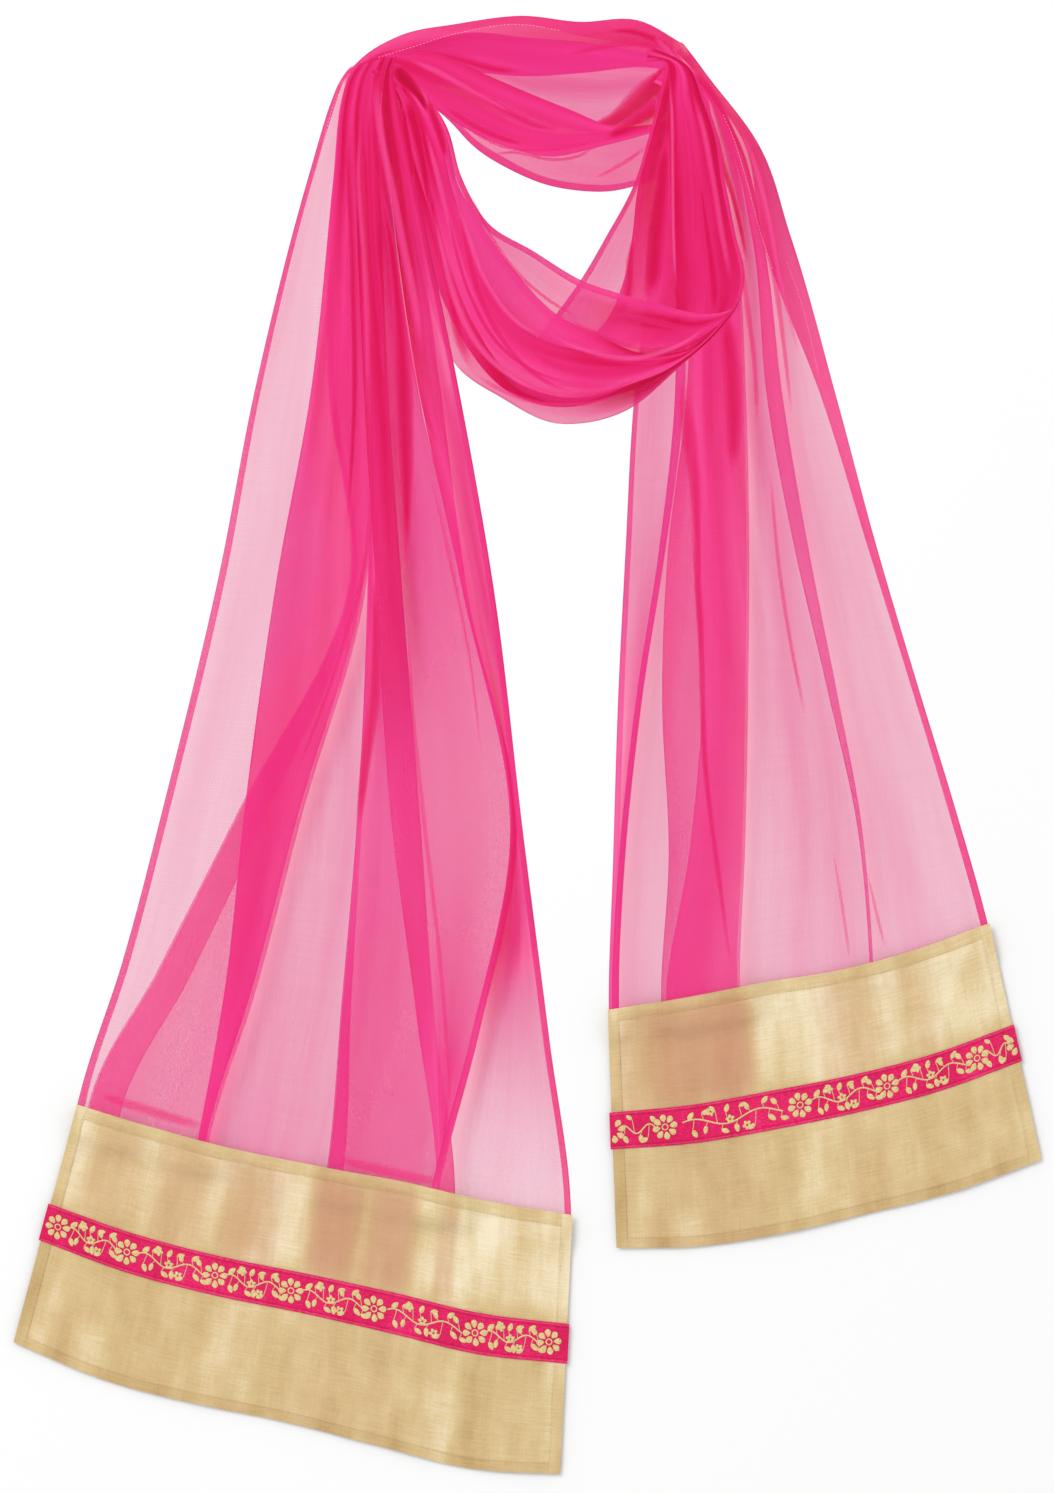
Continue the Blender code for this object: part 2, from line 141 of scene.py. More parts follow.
RIGHT_TAIL_DENSITY = (
    (2.2, 2.2, 0.2, 1), (2.1, 1.8, 0.7, 1), (0.9, 0.9, 0.8, 1), (1.6, 0.85, 0.8, 1), (0.6, 1.0, 0.8, 1),
    (1.0, 0.55, 0.8, 1), (0.6, 1.0, 0.5, 1), (1.35, 1.45, 0.4, 1), (1.0, 0.8, 0.7, 0.2),
    (1.35, 1.0, 0.35, 1), (2.4, 2.4, 0.2, 1),
)

# Upper pass behind the neck, from the left shoulder to the right
NECK_UPPER_FOLDS = (
    ("hem turned", (345, 86), (372, 58), (404, 50), (457, 33), (520, 24), (580, 36), (640, 47), (684, 62)),
    ("top edge", (341, 79), (368, 53), (397, 37), (457, 24), (520, 16), (580, 22), (640, 21), (686, 46)),
    ("dark band bottom", (352, 96), (376, 76), (408, 66), (480, 73), (530, 76.5), (590, 72.5),
     (640, 67.5), (682, 72)),
    ("dark band top", (347, 90), (372, 62), (400, 50), (470, 33), (525, 38), (585, 43), (640, 53),
     (686, 66)),
    ("window foot", (358, 104), (384, 92), (420, 85), (495, 98), (545, 122), (600, 132), (652, 118),
     (678, 92)),
)
NECK_UPPER_DENSITY = ((1.4, 1.4, 0, 1), (3.6, 6.5, 0.2, 1), (4.0, 3.4, 0.2, 1), (3.4, 2.2, 0.1, 1))

# Lower pass behind the neck
NECK_LOWER_FOLDS = (
    ("hem turned", (388, 70), (431, 99), (451, 115), (476, 140), (503, 157), (545, 177), (600, 185),
     (662, 174)),
    ("bottom edge", (388, 74), (430, 105), (447, 119), (474, 147), (501, 165), (545, 184.5),
     (600, 192), (662, 179)),
    ("middle band top", (378, 54), (436, 54), (455, 61), (490, 77), (530, 94), (570, 110),
     (612, 126), (678, 121)),
    ("dark band bottom", (383, 66), (424, 98), (440, 112), (475, 134), (510, 148), (550, 157),
     (600, 147), (674, 127)),
    ("middle band bottom", (380, 60), (420, 79), (452, 94), (490, 112), (522, 127), (560, 134),
     (606, 133), (676, 124)),
)
NECK_LOWER_DENSITY = ((2.4, 2.4, 0, 1), (2.4, 3.0, 0.2, 1), (3.4, 3.2, 0.2, 1), (3.6, 3.4, 0.2, 1))

# Inner half of the loop, from the right shoulder down behind the cowl
LOOP_FALL_FOLDS = (
    ("hem turned", (641, 62), (666, 66), (661, 101), (652, 141), (637, 189), (612, 237), (585, 284),
     (558, 321), (532, 352)),
    ("left edge", (639, 61), (664, 64), (658, 100), (648, 140), (633, 187), (607, 235), (580, 281),
     (553, 318), (524, 352)),
    ("right edge", (652, 45), (690, 70), (706, 105), (718, 140), (725, 187), (735, 235), (744, 282),
     (732, 316), (697, 346)),
    ("soft fold left", (641, 60), (666, 65), (661, 100), (651, 140), (638, 187), (632, 237),
     (623, 283), (608, 318), (578, 350)),
    ("bright line", (648, 50), (682, 68), (690, 102), (701, 140), (706, 187), (710, 235), (709, 283),
     (700, 316), (668, 346)),
    ("panel left", (643, 56), (670, 66), (669, 101), (669, 140), (670, 187), (671, 237), (674, 283),
     (674, 318), (640, 350)),
    ("right edge top", (651, 47), (687, 69), (702, 104), (714, 140), (721, 187), (731, 235),
     (740, 283), (728, 316), (692, 346)),
)
LOOP_FALL_DENSITY = (
    (2.0, 2.0, 0, 1), (1.9, 1.7, 0.4, 1), (1.7, 1.5, 0.4, 1), (1.6, 1.7, 0.4, 1), (1.7, 1.5, 0.4, 1),
    (1.7, 1.7, 0.4, 1),
)

# Cowl, from the left shoulder round to its turn below the right shoulder
COWL_FOLDS = (
    ("hem turned", (402, 76), (422, 97), (444, 132), (457, 180), (484, 227), (530, 256), (577, 286),
     (620, 301), (659, 312), (699, 321), (729, 316), (742, 297)),
    ("upper edge", (404, 74), (424, 95), (448, 130), (462, 178), (488, 223), (533, 251), (580, 280),
     (622, 295), (660, 306), (700, 315), (731, 310), (744, 292)),
    ("band foot", (392, 82), (404, 104), (424, 165), (438, 225), (452, 275), (480, 335), (524, 374),
     (586, 389), (636, 376), (670, 366), (705, 340), (738, 303)),
    ("strand line", (401, 76), (420, 96), (445, 134), (457, 183), (480, 222), (508, 263), (554, 313),
     (600, 336), (645, 355), (690, 350), (718, 329), (741, 300)),
    ("lower edge", (382, 66), (392, 88), (398, 150), (413, 210), (428, 290), (453, 361), (500, 397),
     (560, 424), (628, 410), (676, 371), (722, 328), (742, 298)),
    ("band top", (399, 78), (416, 98), (440, 140), (452, 190), (468, 235), (490, 290), (535, 337),
     (600, 355), (645, 362), (686, 354), (715, 331), (740, 301)),
    ("outer bunch fold", (385, 72), (396, 94), (406, 160), (421, 222), (437, 285), (468, 349), (511, 394),
     (568, 408), (632, 392), (673, 369), (714, 335), (741, 300)),
    ("inner bunch fold", (388, 76), (400, 99), (414, 160), (430, 212), (448, 262), (474, 325), (517, 382),
     (577, 399), (640, 382), (672, 368), (710, 338), (740, 302)),
)
COWL_DENSITY = (
    (2.4, 2.4, 0, 1), (1.9, 2.2, 0.5, 1), (2.2, 1.8, 0.5, 1), (2.2, 0.9, 0.5, 1), (0.9, 2.2, 0.5, 1),
    (2.2, 2.2, 0.5, 1), (2.4, 2.4, 0.5, 1),
)

# Narrow tucks and hollows that lie on each stretch: their layers, how deep their pink is from -1 for
# a pale ridge, a painted highlight, to 2 for the dark of a hollow, a painted shadow, then x, y and width at
# each point
TUCKS = {
    "neck_back_upper": (
        (3.0, 0.8, (392, 54, 5), (430, 54, 8), (462, 60, 9), (494, 69, 8), (530, 72, 4)),
        (2.5, 0.7, (350, 84, 5), (366, 66, 8), (384, 56, 9), (404, 51, 4)),
        (2.0, 0.6, (560, 58, 3), (600, 48, 8), (640, 44, 10), (668, 52, 12), (684, 66, 8)),
        (2.2, 0.9, (604, 30, 3), (640, 34, 10), (664, 46, 9), (680, 60, 5)),
        (4.5, 1.0, (576, 132, 6), (612, 122, 18), (640, 104, 34), (656, 86, 28), (667, 68, 8),
         (674, 56, 2)),
        (1.4, -0.6, (654, 38, 4), (667, 50, 8), (680, 66, 5)),
    ),
    "neck_back_lower": (
        (2.2, 0.3, (457, 119, 2), (481, 137, 4), (507, 148, 4), (543, 150, 4), (584, 144, 4),
         (606, 136, 2)),
        (1.8, 0.2, (488, 155, 2), (516, 153, 4), (552, 160, 4), (577, 157, 4), (600, 144, 2)),
        (1.8, 0.2, (594, 178, 2), (608, 172, 4), (624, 163, 5), (646, 148, 4)),
        (2.5, 0.6, (430, 62, 4), (462, 84, 9), (500, 108, 10), (536, 126, 8), (570, 132, 4)),
        (2.5, 0.7, (440, 104, 4), (470, 124, 8), (500, 138, 7), (530, 146, 3)),
        (2.0, -0.5, (404, 58, 4), (440, 74, 8), (480, 96, 6), (520, 118, 3)),
        (4.0, 1.0, (602, 140, 6), (628, 128, 18), (650, 116, 26), (662, 100, 18)),
    ),
    "tail_right": (
        (3.5, 1.1, (694, 92, 3), (708, 120, 6), (716, 142, 8), (723, 168, 7), (732, 196, 6),
         (740, 228, 5), (748, 270, 3)),
        (2.0, 0.8, (724, 300, 10), (728, 342, 22), (732, 384, 24), (733, 430, 20), (732, 480, 10)),
        (2.5, 0.7, (684, 360, 4), (684, 392, 14), (688, 430, 18), (694, 480, 14), (697, 540, 9),
         (698, 600, 8), (703, 680, 5)),
        (1.6, 0.4, (740, 250, 4), (746, 300, 7), (754, 360, 6), (757, 430, 4)),
        (1.6, 0.3, (752, 180, 4), (764, 230, 7), (776, 290, 7), (784, 350, 5), (792, 420, 4)),
        (1.3, 0.3, (770, 470, 3), (778, 560, 5), (790, 640, 5), (806, 720, 4)),
        (2.4, 0.5, (690, 500, 3), (695, 560, 6), (700, 620, 7), (702, 690, 7), (705, 760, 7), (711, 820, 6),
         (719, 880, 6), (727, 940, 4), (734, 985, 3)),
        (1.0, 0.1, (833, 849, 2), (842, 906, 4), (850, 960, 3)),
        (1.0, 0.1, (867, 872, 2), (876, 912, 4), (885, 948, 3)),
        (2.0, 0.3, (714, 100, 3), (723, 130, 8), (731, 160, 10), (738, 190, 8), (746, 228, 3)),
        (1.2, -0.6, (734, 120, 3), (752, 160, 6), (766, 210, 7), (780, 280, 6), (800, 360, 4)),
    ),
    "loop_fall": (
        (3.5, 1.1, (668, 132, 4), (664, 160, 12), (661, 195, 18), (656, 235, 22), (653, 275, 20),
         (646, 310, 12)),
        (2.5, 0.7, (634, 236, 4), (630, 262, 9), (628, 292, 11), (616, 322, 6)),
        (3.0, 1.0, (698, 168, 2), (702, 200, 4), (706, 228, 7), (711, 262, 10), (714, 296, 11),
         (712, 328, 7)),
        (1.6, -0.7, (668, 70, 2), (671, 110, 4), (672, 170, 4), (673, 240, 4), (676, 300, 3)),
        (1.5, -0.5, (690, 90, 3), (702, 130, 7), (712, 180, 7), (722, 240, 7), (732, 290, 6)),
        (1.3, 0.5, (678, 84, 3), (688, 130, 6), (694, 190, 6), (696, 260, 5)),
    ),
    "cowl_front": (
        (6.0, 1.7, (393, 64, 8), (401, 76, 17), (410, 86, 15), (420, 98, 9), (430, 116, 5)),
        (4.0, 1.1, (404, 92, 8), (412, 118, 13), (420, 150, 10), (428, 190, 8), (436, 226, 6)),
        (3.5, 1.2, (426, 96, 5), (434, 118, 10), (442, 142, 9), (447, 164, 4)),
        (2.5, 0.9, (428, 176, 4), (436, 226, 8), (446, 270, 10), (454, 310, 13), (462, 345, 12),
         (474, 376, 6)),
        (2.0, 0.6, (456, 180, 3), (466, 240, 7), (478, 290, 8), (496, 330, 7), (520, 362, 6), (552, 386, 5),
         (590, 396, 3)),
        (1.6, 0.2, (500, 376, 4), (530, 392, 9), (566, 402, 9), (606, 394, 6), (640, 378, 3)),
        (1.8, 0.5, (520, 344, 4), (556, 366, 12), (596, 374, 16), (636, 372, 12), (672, 360, 5)),
        (2.0, -0.5, (424, 124, 3), (436, 170, 7), (450, 226, 8), (466, 280, 7), (486, 326, 4)),
        (1.4, 0.4, (560, 318, 3), (596, 334, 5), (640, 350, 5), (686, 344, 6), (718, 322, 5)),
        (1.3, 0.5, (600, 312, 3), (650, 322, 7), (700, 330, 8), (728, 316, 6)),
        (1.8, 0.4, (468, 190, 2), (492, 238, 4), (516, 272, 5), (548, 300, 4), (584, 322, 3)),
        (1.8, -0.8, (430, 200, 3), (442, 250, 6), (456, 302, 8), (480, 348, 8), (516, 380, 6), (560, 398, 4)),
        (1.6, -0.7, (452, 186, 3), (466, 230, 6), (486, 282, 6), (516, 322, 6), (556, 344, 4)),
        (1.6, -0.7, (540, 330, 3), (580, 350, 6), (630, 360, 7), (680, 346, 6), (716, 322, 4)),
        (2.2, 0.6, (446, 200, 2), (456, 250, 4), (472, 300, 5), (498, 344, 5), (534, 372, 4), (580, 386, 3)),
        (1.6, 0.1, (470, 372, 3), (500, 390, 5), (540, 404, 5), (590, 404, 4), (630, 392, 3)),
    ),
    "tail_left": (
        (2.4, 0.9, (352, 96, 4), (351, 130, 7), (350, 175, 8), (353, 250, 8), (354, 310, 8),
         (355, 385, 7), (352, 460, 5), (346, 540, 3)),
        (1.4, 0.3, (386, 225, 3), (396, 270, 5), (405, 320, 6), (416, 375, 6), (430, 425, 5), (446, 460, 3)),
        (2.2, 0.8, (372, 84, 4), (370, 130, 7), (371, 175, 6), (374, 250, 6), (380, 310, 5), (384, 380, 4)),
        (3.6, 1.0, (377, 170, 3), (384, 205, 6), (392, 250, 9), (399, 310, 13), (404, 380, 20),
         (406, 440, 18), (407, 510, 10), (406, 590, 3)),
        (2.8, 1.0, (404, 104, 5), (406, 130, 8), (411, 160, 7), (414, 190, 3)),
        (1.9, -0.5, (379, 62, 4), (377, 92, 9), (382, 140, 9), (392, 190, 10), (404, 250, 10), (416, 310, 10),
         (424, 370, 7)),
        (1.3, -0.4, (362, 110, 3), (359, 175, 5), (364, 260, 6), (367, 340, 6), (368, 420, 4)),
        (1.6, 0.3, (372, 470, 3), (366, 560, 6), (345, 640, 5), (318, 720, 4), (290, 790, 3)),
        (2.6, 0.7, (374, 560, 4), (376, 640, 11), (374, 700, 15), (366, 760, 12), (357, 840, 6)),
        (1.5, 0.3, (408, 600, 3), (412, 700, 5), (424, 820, 6), (440, 960, 5), (452, 1120, 3)),
        (1.2, 0.2, (430, 470, 3), (450, 560, 5), (470, 660, 4), (482, 760, 3)),
        (1.5, 0.2, (98, 1094, 9), (136, 1106, 12), (174, 1118, 12), (206, 1127, 9)),
        (1.5, 0.2, (334, 1158, 9), (372, 1167, 12), (410, 1176, 12), (444, 1182, 9)),
    ),
}

# How far the two ends of each stretch fade into the next stretch, in mm, how stranded it looks, and
# how much deeper its pink is
LOOKS = {
    "neck_back_upper": (14, 9, 0.24, 0.32), "neck_back_lower": (12, 16, 0.24, 0.25),
    "tail_right": (18, 0, 0.03, 0.0), "loop_fall": (17, 10, 0.22, 0.12),
    "cowl_front": (10, 5, 0.34, 0.05), "tail_left": (14, 0, 0.03, 0.0),
}

# Where the creases of each stretch fan out from, how many radians of their wave there are to one of
# the fan, and their height in mm, which they reach CREASE_RUN_MM from there. The cowl has none
CREASE_RUN_MM = 800
FANS = {
    "neck_back_upper": ((520, -420), 60.0, 0.8),
    "neck_back_lower": ((520, -420), 60.0, 0.8),
    "tail_right": ((694, -60), 52.0, 1.2),
    "loop_fall": ((676, -60), 60.0, 1.0),
    "cowl_front": ((560, 150), 0.0, 0.0),
    "tail_left": ((372, -60), 52.0, 1.2),
}

# Gold panels: points along the seam and along the bottom edge
LEFT_BORDER_EDGES = (
    ("seam", (77.4, 1104.1), (159.9, 1129), (242.4, 1150.5), (324.9, 1166.9), (407.4, 1182.1),
     (489.9, 1201), (572.4, 1214.8)),
    ("bottom", (13.6, 1342.1), (104.7, 1380), (195.7, 1403.4), (286.8, 1422.1), (377.9, 1445.5),
     (468.9, 1468), (560, 1474)),
)
RIGHT_BORDER_EDGES = (
    ("seam", (607.6, 1009.6), (684, 997.5), (760.3, 982.8), (836.7, 970.5), (913.1, 950.3),
     (989.3, 923)),
    ("bottom", (616.5, 1247.8), (701.4, 1245.9), (786.3, 1232.5), (871.3, 1212.5),
     (956.1, 1190.9), (1041.4, 1159.6)),
)

# Ribbons: where their two edges lie as shares of the panel's depth, how far they stand out past its
# sides, how much of their ends is turned under, and how far each turned end lifts them
LEFT_RIBBON = (0.420, 0.573)
RIGHT_RIBBON = (0.432, 0.586)
RIBBON_PROUD_MM = 1.6
RIBBON_FOLD_MM = 6.5
RIBBON_LIFT_MM = 0.35
RIBBON_STEP_MM = 4.0

# Running stitches that show along the body cloth's hems, as chart places
BODY_STITCHES = (
    ((378, 60), (404, 51), (457, 34), (520, 25), (560, 31)),
    ((343, 88), (337, 100), (319, 160), (304, 216), (288, 284), (270, 356)),
    ((722, 116), (732, 138), (740, 162), (748, 190), (760, 234), (772, 270)),
    ((786, 262), (800, 300), (818, 372)),
)

# Where the pleats behind a panel show through it: share of its width, spread, and strength
LEFT_BLUSH = ((0.10, 0.06, 0.30), (0.24, 0.06, 0.40), (0.38, 0.06, 0.55), (0.54, 0.05, 1.0),
              (0.65, 0.05, 0.85), (0.76, 0.02, 0.4))
RIGHT_BLUSH = ((0.07, 0.05, 0.45), (0.17, 0.06, 0.85), (0.29, 0.07, 1.0), (0.60, 0.08, 0.35),
               (0.78, 0.05, 0.2))

# Middles of the ribbon's flowers, as places along the chart's x
LEFT_FLOWERS = (58, 127, 215, 291, 374, 475, 549)
RIGHT_FLOWERS = (613, 665, 800, 887, 977, 1019)

# Leaves and buds between two flowers: share of the way, mm above the middle, its turn in degrees,
# length and width in mm
LEAVES = (
    (0.17, 3.2, 50, 6.6, 3.8), (0.20, -4.4, -62, 6.2, 3.6), (0.27, 6.4, 12, 7.0, 3.6),
    (0.30, -2.4, -100, 6.0, 3.2), (0.37, 7.2, 140, 5.2, 3.0), (0.41, -6.8, -25, 6.2, 3.4),
    (0.45, 4.6, 70, 6.2, 3.6), (0.52, -4.2, -80, 6.4, 3.6), (0.55, 7.4, 15, 5.8, 3.0),
    (0.62, 3.6, 115, 6.2, 3.4), (0.66, -7.0, -150, 5.8, 3.2), (0.72, 6.4, 40, 6.4, 3.6),
    (0.76, -2.6, -40, 6.8, 3.6), (0.83, 4.0, 130, 6.2, 3.6), (0.85, -6.2, -10, 6.2, 3.4),
)
BLOSSOMS = ((0.34, 7.0), (0.60, -6.8), (0.48, -0.6))

# The pattern in mm: the vine's wave, how far leaves and everything keep to the ribbon's middle, how
# far all keeps from its ends, and the least gap between flowers that has every leaf and a blossom
VINE_WAVE_MM = 3.2
LEAF_REACH_MM = 7.4
PATTERN_REACH_MM = 12.2
PATTERN_END_MM = 0.6
FULL_GAP_MM = 45

# How high petals and leaves lie over the ribbon, how much higher their middles are, and a thread's
PETAL_LIFT_MM = 0.18
PETAL_CROWN_MM = 0.32
THREAD_CROWN_MM = 0.25

# A flower in shares of its radius: where its petals start, their length and width, and its eye
PETAL_FOOT = 0.36
PETAL_LENGTH = 0.64
PETAL_WIDTH = 0.47
FLOWER_EYE = 0.22

# How strips lie, in mm: steps along a stretch and across a strip, and where the stretch runs down
# beneath others, how high its first strip ends and how much higher each next one does. From there
# they rise at FALL_SLOPE. A fold takes up no more than MOST_INSET of a strip's width
STRETCH_STEP_MM = 5.0
STRIP_STEP_MM = 5.0
FALL_END_MM = 1.2
FALL_STEP_MM = 0.12
FALL_SLOPE = 1.4
MOST_INSET = 0.3

# How bunched cloth looks: how many times denser it gets at most, how much of its narrowing and of its
# gathering counts as crumple at most, how much denser it gets at most where it slopes, and between
# which shares of a stretch's length a strip thins out to the last number of its density
MOST_SQUEEZE = 5.0
MOST_NARROWING = 0.8
MOST_GATHERING = 0.5
MOST_SLANT = 2.2
THINS_BETWEEN = (0.35, 0.85)

# Heights in layers: the heap below from which pink deepens, partly for the many layers and partly as
# painted shade, over how much more, and the most by which it does. Cloth counts as alone on a heap
# lower than ALONE_UNDER, if it has fewer than THIN_UNDER, and is then painted greyer, a painted shadow
DEEPER_FROM = 4
DEEPER_OVER = 16
MOST_DEEPER = 0.65
ALONE_UNDER = 5
THIN_UNDER = 3.2

# Tucks in mm: how far they lie over the heap, how much higher each next one does, and on the cut
# where their yarns start, how far apart they are and half how wide
TUCK_RISE_MM = 0.25
TUCK_STEP_MM = 0.01
TUCK_PLACE_MM = 900
TUCK_APART_MM = 40
TUCK_HALF_MM = 8

# Panels in mm: steps along and down them, how far they lie over the heap, and how high their folds
# and their puckers are, which die away over PUCKER_RUN_MM
PANEL_STEPS_MM = (2.0, 2.2)
PANEL_RISE_MM = 0.9
PANEL_FOLD_MM = 0.5
PUCKER_MM = 0.14
PUCKER_RUN_MM = 7.0

# The stage: in metres where the lamp stands, its sides and the camera's height, and in mm the
# camera's sensor, half the floor's side and how far it lies under the cloth
KEY_PLACE = (-4.0, 3.6, 6.6)
KEY_SIDES = (5.0, 4.0)
CAMERA_HEIGHT = 8.0
SENSOR_MM = 24.0
FLOOR_HALF_MM = 4000.0
FLOOR_DROP_MM = 1.0

# Depth in metres of the finest grain on a surface
GRAIN_DEPTH = 0.0002


# Sizes and colours that a user would change

class ClothSettings(PropertyGroup):
    colour: StringProperty(name="Organza", description="Colour of the body cloth's threads",
                           default="#EA2F80")
    sheer: FloatProperty(name="Sheerness", description="Share of light that one layer lets through",
                         default=0.51, min=0.05, max=0.95, subtype="FACTOR")
    layer: FloatProperty(name="Layer", description="Height from one strip to the next that lies on it",
                         default=0.0015, min=0.0003, unit="LENGTH")
    turn: FloatProperty(name="Turn", description="How far a fold bulges past the strips it joins",
                        default=0.0011, min=0.0002, unit="LENGTH")


class BorderSettings(PropertyGroup):
    gold: StringProperty(name="Tissue", description="Colour of the gold tissue", default="#D9C08E")
    ribbon: StringProperty(name="Ribbon", description="Ground colour of the woven ribbon",
                           default="#E0155F")
    motif: StringProperty(name="Motif", description="Colour of the ribbon's flowers and vine",
                          default="#E8D69C")
    flower: FloatProperty(name="Flower", description="Width of a flower on the ribbon",
                          default=0.0185, min=0.002, unit="LENGTH")
    hem: FloatProperty(name="Hem", description="Width of the panel's stitched hem",
                       default=0.0072, min=0.001, unit="LENGTH")


class StageSettings(PropertyGroup):
    floor: StringProperty(name="Floor", description="Colour of the pale floor", default="#F4F4F4")
    key: FloatProperty(name="Key light", description="Power of the large soft lamp", default=290.0,
                       min=0.0, unit="POWER")
    sky: FloatProperty(name="Sky", description="Strength of the even light from all round",
                       default=0.82, min=0.0)


def settings():
    scene = bpy.context.scene
    return scene.dupatta_cloth, scene.dupatta_border, scene.dupatta_stage


# Materials

def linear(colour):
    """sRGB hex to linear: each channel by the sRGB curve."""
    parts = [int(colour[i:i + 2], 16) / 255 for i in (1, 3, 5)]
    return [p / 12.92 if p <= 0.04045 else ((p + 0.055) / 1.055) ** 2.4 for p in parts] + [1.0]


def add_node(tree, kind, values=None, links=None, **choices):
    """One node with its settings, its socket values and the sockets that feed it."""
    made = tree.nodes.new(kind)
    for name, value in choices.items():
        setattr(made, name, value)
    for name, value in (values or {}).items():
        made.inputs[name].default_value = value
    for name, source in (links or {}).items():
        tree.links.new(source, made.inputs[name])
    return made


def new_material(name):
    material = bpy.data.materials.new(name)
    material.use_nodes = True
    tree = material.node_tree
    return material, tree, tree.nodes["Principled BSDF"]


def streaks(tree, uv, across_mm, along_mm, detail=2.0):
    """Noise drawn out along the cloth: one blot is across_mm wide and along_mm long."""
    scaled = add_node(tree, "ShaderNodeMapping", {"Scale": (1000 / across_mm, 1000 / along_mm, 1)},
                      {"Vector": uv})
    noise = add_node(tree, "ShaderNodeTexNoise", {"Scale": 1.0, "Detail": detail},
                     {"Vector": scaled.outputs[0]}, noise_dimensions="2D")
    return noise.outputs[0]


def compute(tree, operation, first, second, clamp=False):
    """One step of arithmetic on two terms, each a number or a socket."""
    made = add_node(tree, "ShaderNodeMath", operation=operation, use_clamp=clamp)
    for place, term in zip(made.inputs, (first, second)):
        if isinstance(term, float):
            place.default_value = term
        else:
            tree.links.new(term, place)
    return made.outputs[0]


def sum_of(tree, start, *terms):
    """start plus each noise, counted from its middle of 0.5, times its weight."""
    total = start
    for noise, weight in terms:
        part = compute(tree, "MULTIPLY", compute(tree, "SUBTRACT", noise, 0.5), weight)
        total = compute(tree, "ADD", part, total)
    return total


def watered_rings(tree, uv, fineness, wander, detail_scale):
    """Wandering bands, for the watery rings of two weaves that nearly line up."""
    wave = add_node(tree, "ShaderNodeTexWave", {"Scale": fineness, "Distortion": wander, "Detail": 2.0,
                                                "Detail Scale": detail_scale}, {"Vector": uv})
    return wave.outputs["Fac"]


def cut_place(tree):
    """Where a point lies on the flat cut, in metres."""
    return add_node(tree, "ShaderNodeUVMap", uv_map="UVMap").outputs[0]


def point_values(tree, *keys):
    """The values that a sheet holds at its points, a socket for each key."""
    return [add_node(tree, "ShaderNodeAttribute", attribute_name=key).outputs["Fac"] for key in keys]


def colour_steps(tree, value, *stops):
    """A colour ramp with a stop at each place and hex colour."""
    ramp = add_node(tree, "ShaderNodeValToRGB", None, {0: value})
    points = ramp.color_ramp.elements
    while len(points) < len(stops):
        points.new(0.5)
    for point, (place, colour) in zip(points, stops):
        point.position = place
        point.color = linear(colour)
    return ramp.outputs[0]


def mixed(tree, share, colour, other):
    """A colour socket with a share of another colour, in hex, mixed in."""
    mix = add_node(tree, "ShaderNodeMix", {7: linear(other)}, {0: share, 6: colour}, data_type="RGBA")
    return mix.outputs[2]


def levelled(tree, share):
    """The way a surface faces, with its slope lowered to a share.

    Real folds lie flatter than these, and light comes through them, so their slopes shade less.
    """
    facing = add_node(tree, "ShaderNodeNewGeometry").outputs["Normal"]
    lower = add_node(tree, "ShaderNodeVectorMath", {1: (share, share, 1.0)}, {0: facing},
                     operation="MULTIPLY")
    level = add_node(tree, "ShaderNodeVectorMath", None, {0: lower.outputs[0]}, operation="NORMALIZE")
    return level.outputs[0]


def grain(tree, strength, height, **more):
    """The way a surface faces once a fine height roughens it. more names further links."""
    bump = add_node(tree, "ShaderNodeBump", {"Strength": strength, "Distance": GRAIN_DEPTH},
                    {"Height": height, **more})
    return bump.outputs[0]


def dress(tree, shader, colour, facing, roughness, specular):
    """Give a shader its colour and its facing, both sockets, and how rough and glossy it is."""
    tree.links.new(colour, shader.inputs["Base Color"])
    tree.links.new(facing, shader.inputs["Normal"])
    shader.inputs["Roughness"].default_value = roughness
    shader.inputs["Specular IOR Level"].default_value = specular


def organza_material(name):
    """Silk organza, plain woven of hard-twisted yarn: crisp, see-through and faintly grainy."""
    cloth, _, _ = settings()
    material, tree, shader = new_material(name)
    uv = cut_place(tree)
    density, shade, crumple, alone = point_values(tree, "cloth_layers", "pink_depth_shade_highlight", "crumple", "alone")
    # Yarns lie about 0.25 mm apart, too fine to show, so their unevenness is drawn 1.6 mm wide
    warp = streaks(tree, uv, 1.6, 40.0)
    weft = streaks(tree, uv, 40.0, 1.6)
    slack = streaks(tree, uv, 16.0, 260.0)
    strand = streaks(tree, uv, 26.0, 420.0, 3.0)
    # Streaks of deeper and paler pink where the cloth is gathered: painted shade and highlight on its
    # crumples
    hollow = streaks(tree, uv, 19.0, 340.0, 3.0)
    watered = watered_rings(tree, uv, fineness=170.0, wander=9.0, detail_scale=0.7)
    gathered = compute(tree, "MULTIPLY", crumple, 3.6)
    share = sum_of(tree, 1.0, (warp, 0.14), (weft, 0.14), (slack, 0.45), (watered, 0.05),
                   (strand, gathered))
    # What n layers let through is what one lets through to the power n
    through = compute(tree, "POWER", cloth.sheer, compute(tree, "MULTIPLY", density, share))
    solid = compute(tree, "SUBTRACT", 1.0, through, clamp=True)
    tree.links.new(solid, shader.inputs["Alpha"])
    # Pink from many layers is deeper, as light passes the dye again and again; the deeper stops are also
    # painted shade in hollows and cavities, and the palest stop a painted highlight on ridges
    folded = compute(tree, "MULTIPLY", crumple, 9.0)
    depth = sum_of(tree, shade, (hollow, folded), (slack, 0.5))
    place = add_node(tree, "ShaderNodeMapRange", {"From Min": -1.0, "From Max": 2.0}, {"Value": depth})
    tint = colour_steps(tree, place.outputs[0], (0.0, "#F0599C"), (0.333, cloth.colour),
                        (0.667, "#D4034B"), (1.0, "#B00030"))
    # A lone layer is painted a little greyer, a painted shadow for the shade it would cast on the floor that
    # shows between its yarns
    dress(tree, shader, mixed(tree, alone, tint, "#DB3084"), levelled(tree, 0.35),
          roughness=0.6, specular=0.08)
    return material


